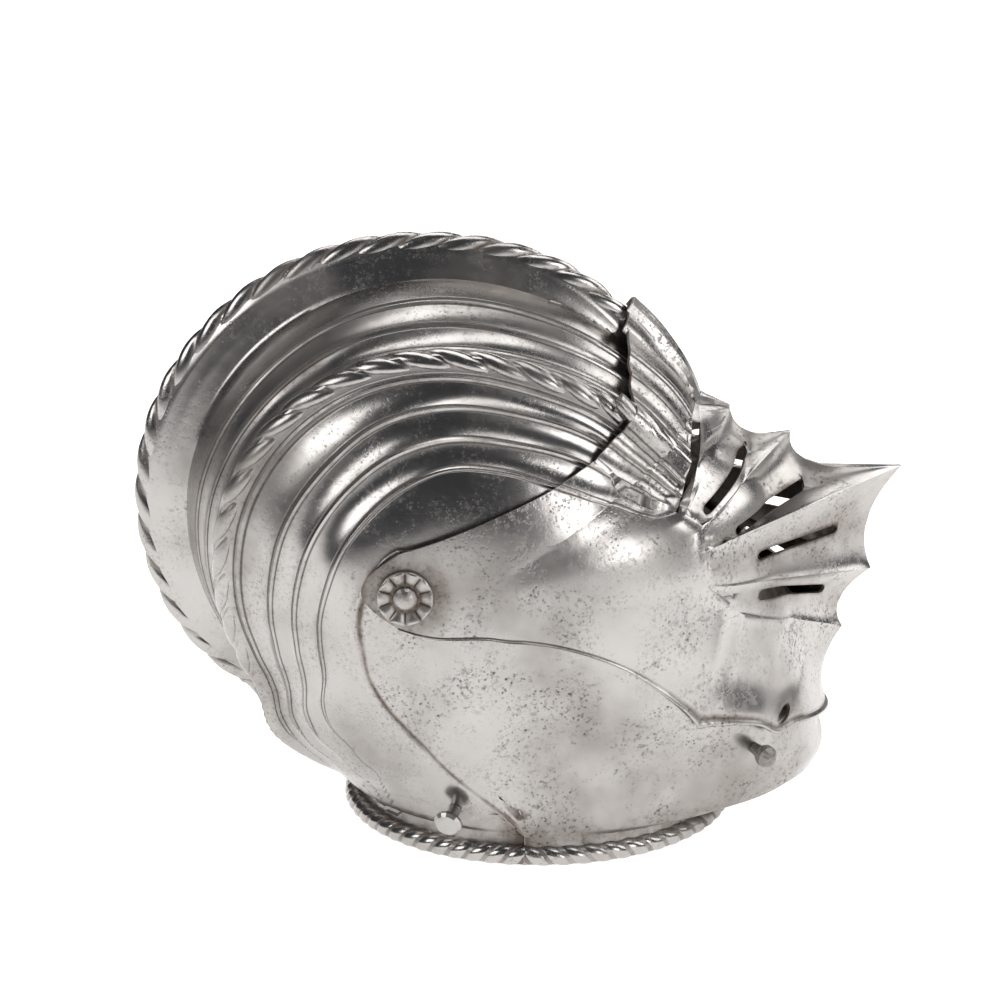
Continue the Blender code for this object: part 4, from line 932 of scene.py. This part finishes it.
def front_row(points, depth):
    """Part of a row from its foot to the keel. The half width falls in a straight line once
    it has left the cheek's slope, and valleys are sunk by a depth that grows forwards."""
    line = clustered(points.T, FRONT_STEPS, FRONT_POWER).T
    steps = lengths_along(line)
    s = steps / steps[-1]
    foot_half = plain_half_width(points[:1, 0], points[:1, 1])[0]
    turn = (1 - CHEEK_LEAN * steps[-1] / foot_half) * s * np.maximum(0.0, 1 - s / HUB_SHARE) ** 2
    half = foot_half * (1 - s + turn) + 2 * LAYER * ease(s / OFFSET_SHARE) * (1 - s)
    return line, half - depth * (0.35 + 0.65 * s) * ease(s / 0.16) * ease((1 - s) / 0.1)


def bellows_rows():
    """Rows from the lower edge to the top ridge: side, front, half widths, valley share."""
    rows, ridges = [], []
    for foot_x, foot_z, spike_x, spike_z, pull_x, pull_z, place in RIDGES:
        foot, spike = beak_point(foot_x, foot_z), beak_point(spike_x, spike_z)
        points = np.stack([foot, foot + 0.3 * (spike - foot), foot + 0.78 * (spike - foot), spike])
        ridges.append((place, points, beak_point(pull_x, pull_z)))
    low_foot = smooth_line(VISOR_LOW)[-1]
    keel = beak_point(*LOW_KEEL)
    share = clustered(np.array([0.0, 0.34, 0.74, 1.0]), FRONT_STEPS, FRONT_POWER)
    drop = smooth_table(VISOR_LOW_FRONT, share) * BEAK_SPAN
    low_line = low_foot + (keel - low_foot) * share[:, None] + np.stack([0 * drop, -drop], 1)
    low_half = plain_half_width(low_foot[:1], low_foot[1:])[0] * (1 - share ** 1.6) ** 0.6
    low_half = low_half + 2 * LAYER * ease(share / OFFSET_SHARE) * (1 - share ** 4)
    place, points, _ = ridges[0]
    line, half = front_row(points, 0.0)
    low_pull = beak_point(*LOW_KEEL_PULL) - (keel + line[-1]) / 2
    for f in LOW_SHARES:
        side = side_rows(place * f, low_foot + (points[0] - low_foot) * f)
        mixed = low_line * (1 - f) + line * f + 2 * f * (1 - f) * low_pull * (share ** 2)[:, None]
        rows.append((side, mixed, low_half * (1 - ease(f)) + half * ease(f), 0.0))
    for slot, (place, points, pull), (next_place, next_points, _) in zip(SLOTS, ridges, ridges[1:]):
        rear, fore = beak_point(*slot[:2]), beak_point(*slot[2:])
        across = np.array([rear[1] - fore[1], fore[0] - rear[0]])
        across = across / np.linalg.norm(across) * SLOT_WIDTH / 2
        for f in np.concatenate([VALLEY_SHARES, (1 - VALLEY_SHARES[1:])[::-1]]):
            keel = (1 - f) ** 2 * points[3] + 2 * f * (1 - f) * pull + f * f * next_points[3]
            foot = points[0] + (next_points[0] - points[0]) * f
            below = f <= VALLEY_SHARES[-1]
            ridge, to_slot, rim = (points, f, -across) if below else (next_points, 1 - f, across)
            t = to_slot / VALLEY_SHARES[-1]
            rear_point = ridge[1] * (1 - t) + (rear + rim) * t
            fore_point = ridge[2] * (1 - t) + (fore + rim) * t
            valley = (4 * f * (1 - f)) ** 0.8
            line, half = front_row(np.stack([foot, rear_point, fore_point, keel]), PLEAT_DEPTH * valley)
            rows.append((side_rows(place + (next_place - place) * f, foot), line, half, valley))
    place, points, _ = ridges[-1]
    rows.append((side_rows(place, points[0]), *front_row(points, 0.0), 0.0))
    return rows


def brow_rows():
    """Rows of the brow from its lower edge up, along the skull's own lines."""
    rows = []
    even = np.linspace(0, 1, BROW_ROWS)
    for f in 0.45 * even + 0.55 * (0.5 - 0.5 * np.cos(math.pi * even)):
        angle = np.full(10, BROW_ANGLE)
        for _ in range(5):
            crest = bowl_radius(angle) + comb_rise(angle)
            lines = crest_stations(angle, crest, crest * (0.72 * (1 - f) + 0.64 * f))
            reach = np.diagonal(np.concatenate([lines[:, :1], lines[:, 3:]], axis=1))
            share = reach / crest
            angle = smooth_table(BROW_LOW, share) * (1 - f) + smooth_table(BROW_TOP, share) * f
        angle, reach = clustered(angle, BROW_STEPS, 1.8), clustered(reach, BROW_STEPS, 1.8)
        x, z = polar(HUB_X, HUB_Z, angle, reach)
        half = skull_half_width(x, z)
        half[-1] = 0.0
        foot, edge = BROW_FOOT, BROW_EDGE
        climb = np.clip((reach - reach[foot]) / (reach[edge] - reach[foot]), 0, 1)
        flank = half[edge] + (half[foot] - half[edge]) * (1 - climb) ** 1.3
        half[foot + 1:edge] = np.maximum(half, flank)[foot + 1:edge]
        rows.append((f, np.stack([x, z], axis=1), half))
    return rows


def visor_sheet():
    """Visor: every row's side and front in one grid, smoothed where they meet, less the
    slots and the sight. Away from its foot the front lies nearer to the plain form and is
    widened instead, which keeps the ridges sharp."""
    rows = bellows_rows()
    brow = brow_rows()
    _, edge, edge_half = brow[0]
    along = edge[-1] - edge[0]
    ahead = np.array([along[1], -along[0]]) / np.linalg.norm(along)
    sight = edge + ahead * SLOT_WIDTH
    sight_half = edge_half - 0.0008 * (edge_half > 0)
    _, ridge, ridge_half, _ = rows[-1]
    place = RIDGES[-1][6]
    for f in STEPS_TO_SIGHT:
        line = ridge * (1 - f) + sight * f
        side = side_rows(place + (SIGHT_PLACES[0] - place) * f, line[0])
        rows.append((side, line, ridge_half * (1 - f) + sight_half * f, 0.5))
    first_brow = len(rows)
    for f, line, half in brow:
        rows.append((side_rows(SIGHT_PLACES[1] + (1 - SIGHT_PLACES[1]) * f, line[0]), line, half, 0.0))
    points = np.array([np.concatenate([side[:-1], line]) for side, line, _, _ in rows])
    valley = np.array([row[3] for row in rows])[:, None]
    for row in SLOT_ROWS:
        pair = points[row:row + 2]
        middle_line = pair.mean(axis=0)
        steps = lengths_along(middle_line)
        off = np.minimum(steps - steps[SLOT_COLUMNS.start], steps[SLOT_COLUMNS.stop] - steps)
        off /= SLOT_WIDTH / 2
        opening = np.where(off < -1e-6, 1.0, np.sqrt(1 - (1 - np.clip(off, 0.02, 1.0)) ** 2))
        pair[:] = middle_line + (pair - middle_line) * opening[:, None]
    x, z = points[..., 0], points[..., 1]
    share = np.cumsum(np.linalg.norm(np.diff(points[:, SIDE_COLUMNS:], axis=1), axis=2), axis=1)
    share = np.concatenate([np.zeros((len(rows), SIDE_COLUMNS + 1)), share / share[:, -1:]], axis=1)
    full = np.ones((len(rows), 1))
    full[:first_brow, 0] = np.concatenate([np.zeros(first_brow - len(STEPS_TO_SIGHT)), STEPS_TO_SIGHT])
    offset = 2 * LAYER * (1 - ease(share / OFFSET_SHARE) * (1 - full))
    half = plain_half_width(x, z)
    half = half + FRONT_WIDENING * (2 * LAYER - offset) * ease(half / 0.03)
    half[:, SIDE_COLUMNS:] = smooth_max(half[:, SIDE_COLUMNS:], np.array([row[2] for row in rows]), 0.004)
    joint = half[:first_brow, SIDE_COLUMNS - 7:SIDE_COLUMNS + 10]
    for _ in range(10):
        joint[:, 1:-1] = (joint[:, :-2] + 2 * joint[:, 1:-1] + joint[:, 2:]) / 4
    half[:, -1] = 0.0
    angle, reach = hub_polar(x, z)
    lift, line = flute_relief(angle, reach / bowl_radius(angle))
    front = np.arange(x.shape[1])[None, :] - SIDE_COLUMNS
    climb = np.array([row[0] for row in brow])[:, None]
    lift[first_brow:] *= ease(climb / (0.14 - 0.11 * ease(front / 24.0)))
    along = ease((front - 2) / 12) * ease((sum(FRONT_STEPS) - front) / 5)
    lift[:first_brow] = RIDGE_BEAD * bell(valley[:first_brow], 0.0, 0.2) * along
    up = LOW_EDGE_HEIGHT * LOW_SHARES[:, None]
    lift[:LOW_ROWS] = 0.0006 * bell(up, 0.0008, 0.0009) - 0.0004 * bell(up, LOW_GROOVE, 0.0008)
    line[:first_brow] = NO_LINE
    stain = 0.35 * valley ** 3 * (front > 4)
    # Dirt and painted shade: a dark line in the groove above the lower edge's bead.
    stain[:LOW_ROWS] += 0.9 * bell(up, LOW_GROOVE, 0.001)
    stain = stain + 0.7 * ease((0.026 - np.hypot(x - PIVOT_X, z - PIVOT_Z)) / 0.012)
    middle = np.ones(len(rows), bool)
    outer, inner = faces_of(np.stack([x, -half, z], axis=-1), middle, lift, offset)
    keep = np.ones((len(rows) - 1, points.shape[1] - 1), bool)
    keep[SLOT_ROWS, SLOT_COLUMNS] = False
    keep[first_brow - 1, SIDE_COLUMNS:SIDE_COLUMNS + BROW_FOOT + BROW_STEPS[7] // 2] = False
    sheet = Sheet()
    sheet.both_sides(outer, inner, stain, line, middle, True, keep)
    return sheet


visor_steel = worn_steel("visor_steel", pits=0.85, brown=0.8, polish=0.18)
sheet = visor_sheet()
sheet.punch(*CATCH_HOLE)
visor = sheet.piece("visor_plate", visor_steel)
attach(visor, "visor")
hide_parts("visor")
path, out = side_comb_path(27.5, 49.8, 90, 2 * LAYER)
for name, sign in (("brow_rope_right", 1.0), ("brow_rope_left", -1.0)):
    edge = side_rope(name, sign, path, out, 0.4, np.linspace(0.0, 5.0, 90), 2.6)
    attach(edge, "visor")
path, way, size = crest_path(33.5, 55.0, 110)
brow_comb = rope("brow_comb_rope", path + way * 2 * LAYER, size * 1.02, way, 3.2, 3.0, 0.3, 40, COMB_OVAL)
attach(brow_comb, "visor")


# Rosettes. A cupped washer with ten chased petals lies on each side under the domed head of
# the rivet that holds visor, bevor and skull together.
def turned(name, line, place, axis, around, petals, petal_depth):
    """A closed solid turned round an axis from rows of radius, height, petal share, patina."""
    turn = np.arange(around) / around * 2 * math.pi
    up = np.array([0.0, 0.0, 1.0])
    side = np.cross(axis, up)
    radius, height, share, brown = np.array(line).T[..., None]
    groove = 1 - np.abs(np.cos(petals * turn / 2)) ** 0.5
    ring = np.cos(turn)[:, None] * side + np.sin(turn)[:, None] * up
    out = (height - petal_depth * share * groove)[..., None] * np.asarray(axis)
    points = np.asarray(place) + radius[..., None] * ring + out
    numbers = np.arange(len(line) * around).reshape(len(line), around)
    ring = np.concatenate([numbers, numbers[:, :1]], axis=1)
    quads = grid_quads(np.concatenate([ring, ring[:1]])).reshape(-1, 4)
    stain = brown + 0.8 * share * groove
    return shaped(name, rosette_steel, points.reshape(-1, 3), quads, stain.ravel(), sharp=40.0)


rosette_steel = worn_steel("rosette_steel", pits=0.6, brown=1.3, polish=0.2)
ROSETTE_PETALS = 10
PETAL_DEPTH = 0.0012
rosette_in = HALF_WIDTH - PIVOT_SUNK + 2 * LAYER + 0.0003
rosette_profile = [
    (0.0041, 0.0, 0, 1.0), (0.0041, 0.0009, 0, 1.0), (0.0066, 0.0009, 0, 0.9),
    (0.0072, 0.0013, 1, 0.6), (0.0082, 0.0016, 1, 0.2), (0.0094, 0.0019, 1, 0.1),
    (0.0106, 0.0022, 1, 0.1), (0.0114, 0.0024, 1, 0.1), (0.012, 0.0024, 0.8, 0.0),
    (0.0126, 0.0022, 0.3, 0.1), (0.013, 0.0017, 0, 0.4), (0.013, 0.0, 0, 0.8),
]
for name, sign in (("rosette_right", -1.0), ("rosette_left", 1.0)):
    washer = turned(name + "_washer", [(r, rosette_in + h, p, s) for r, h, p, s in rosette_profile],
                    (PIVOT_X, 0.0, PIVOT_Z), (0.0, sign, 0.0), 160, ROSETTE_PETALS, PETAL_DEPTH)
    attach(washer, "skull")
    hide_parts(name)


# Studs of the locks and pivot rivets. They keep their CAD shape: the two studs on the right
# side are of a browner steel than the plates, the rivets of the same as the rosettes.
stud_steel = worn_steel("stud_steel", pits=1.0, brown=1.6, polish=0.26)
for name in ("skull_stud", "bevor_stud", "pivot_rivet_right", "pivot_rivet_left"):
    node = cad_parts[name]
    for spot in node.material_slots:
        spot.material = stud_steel if "stud" in name else rosette_steel
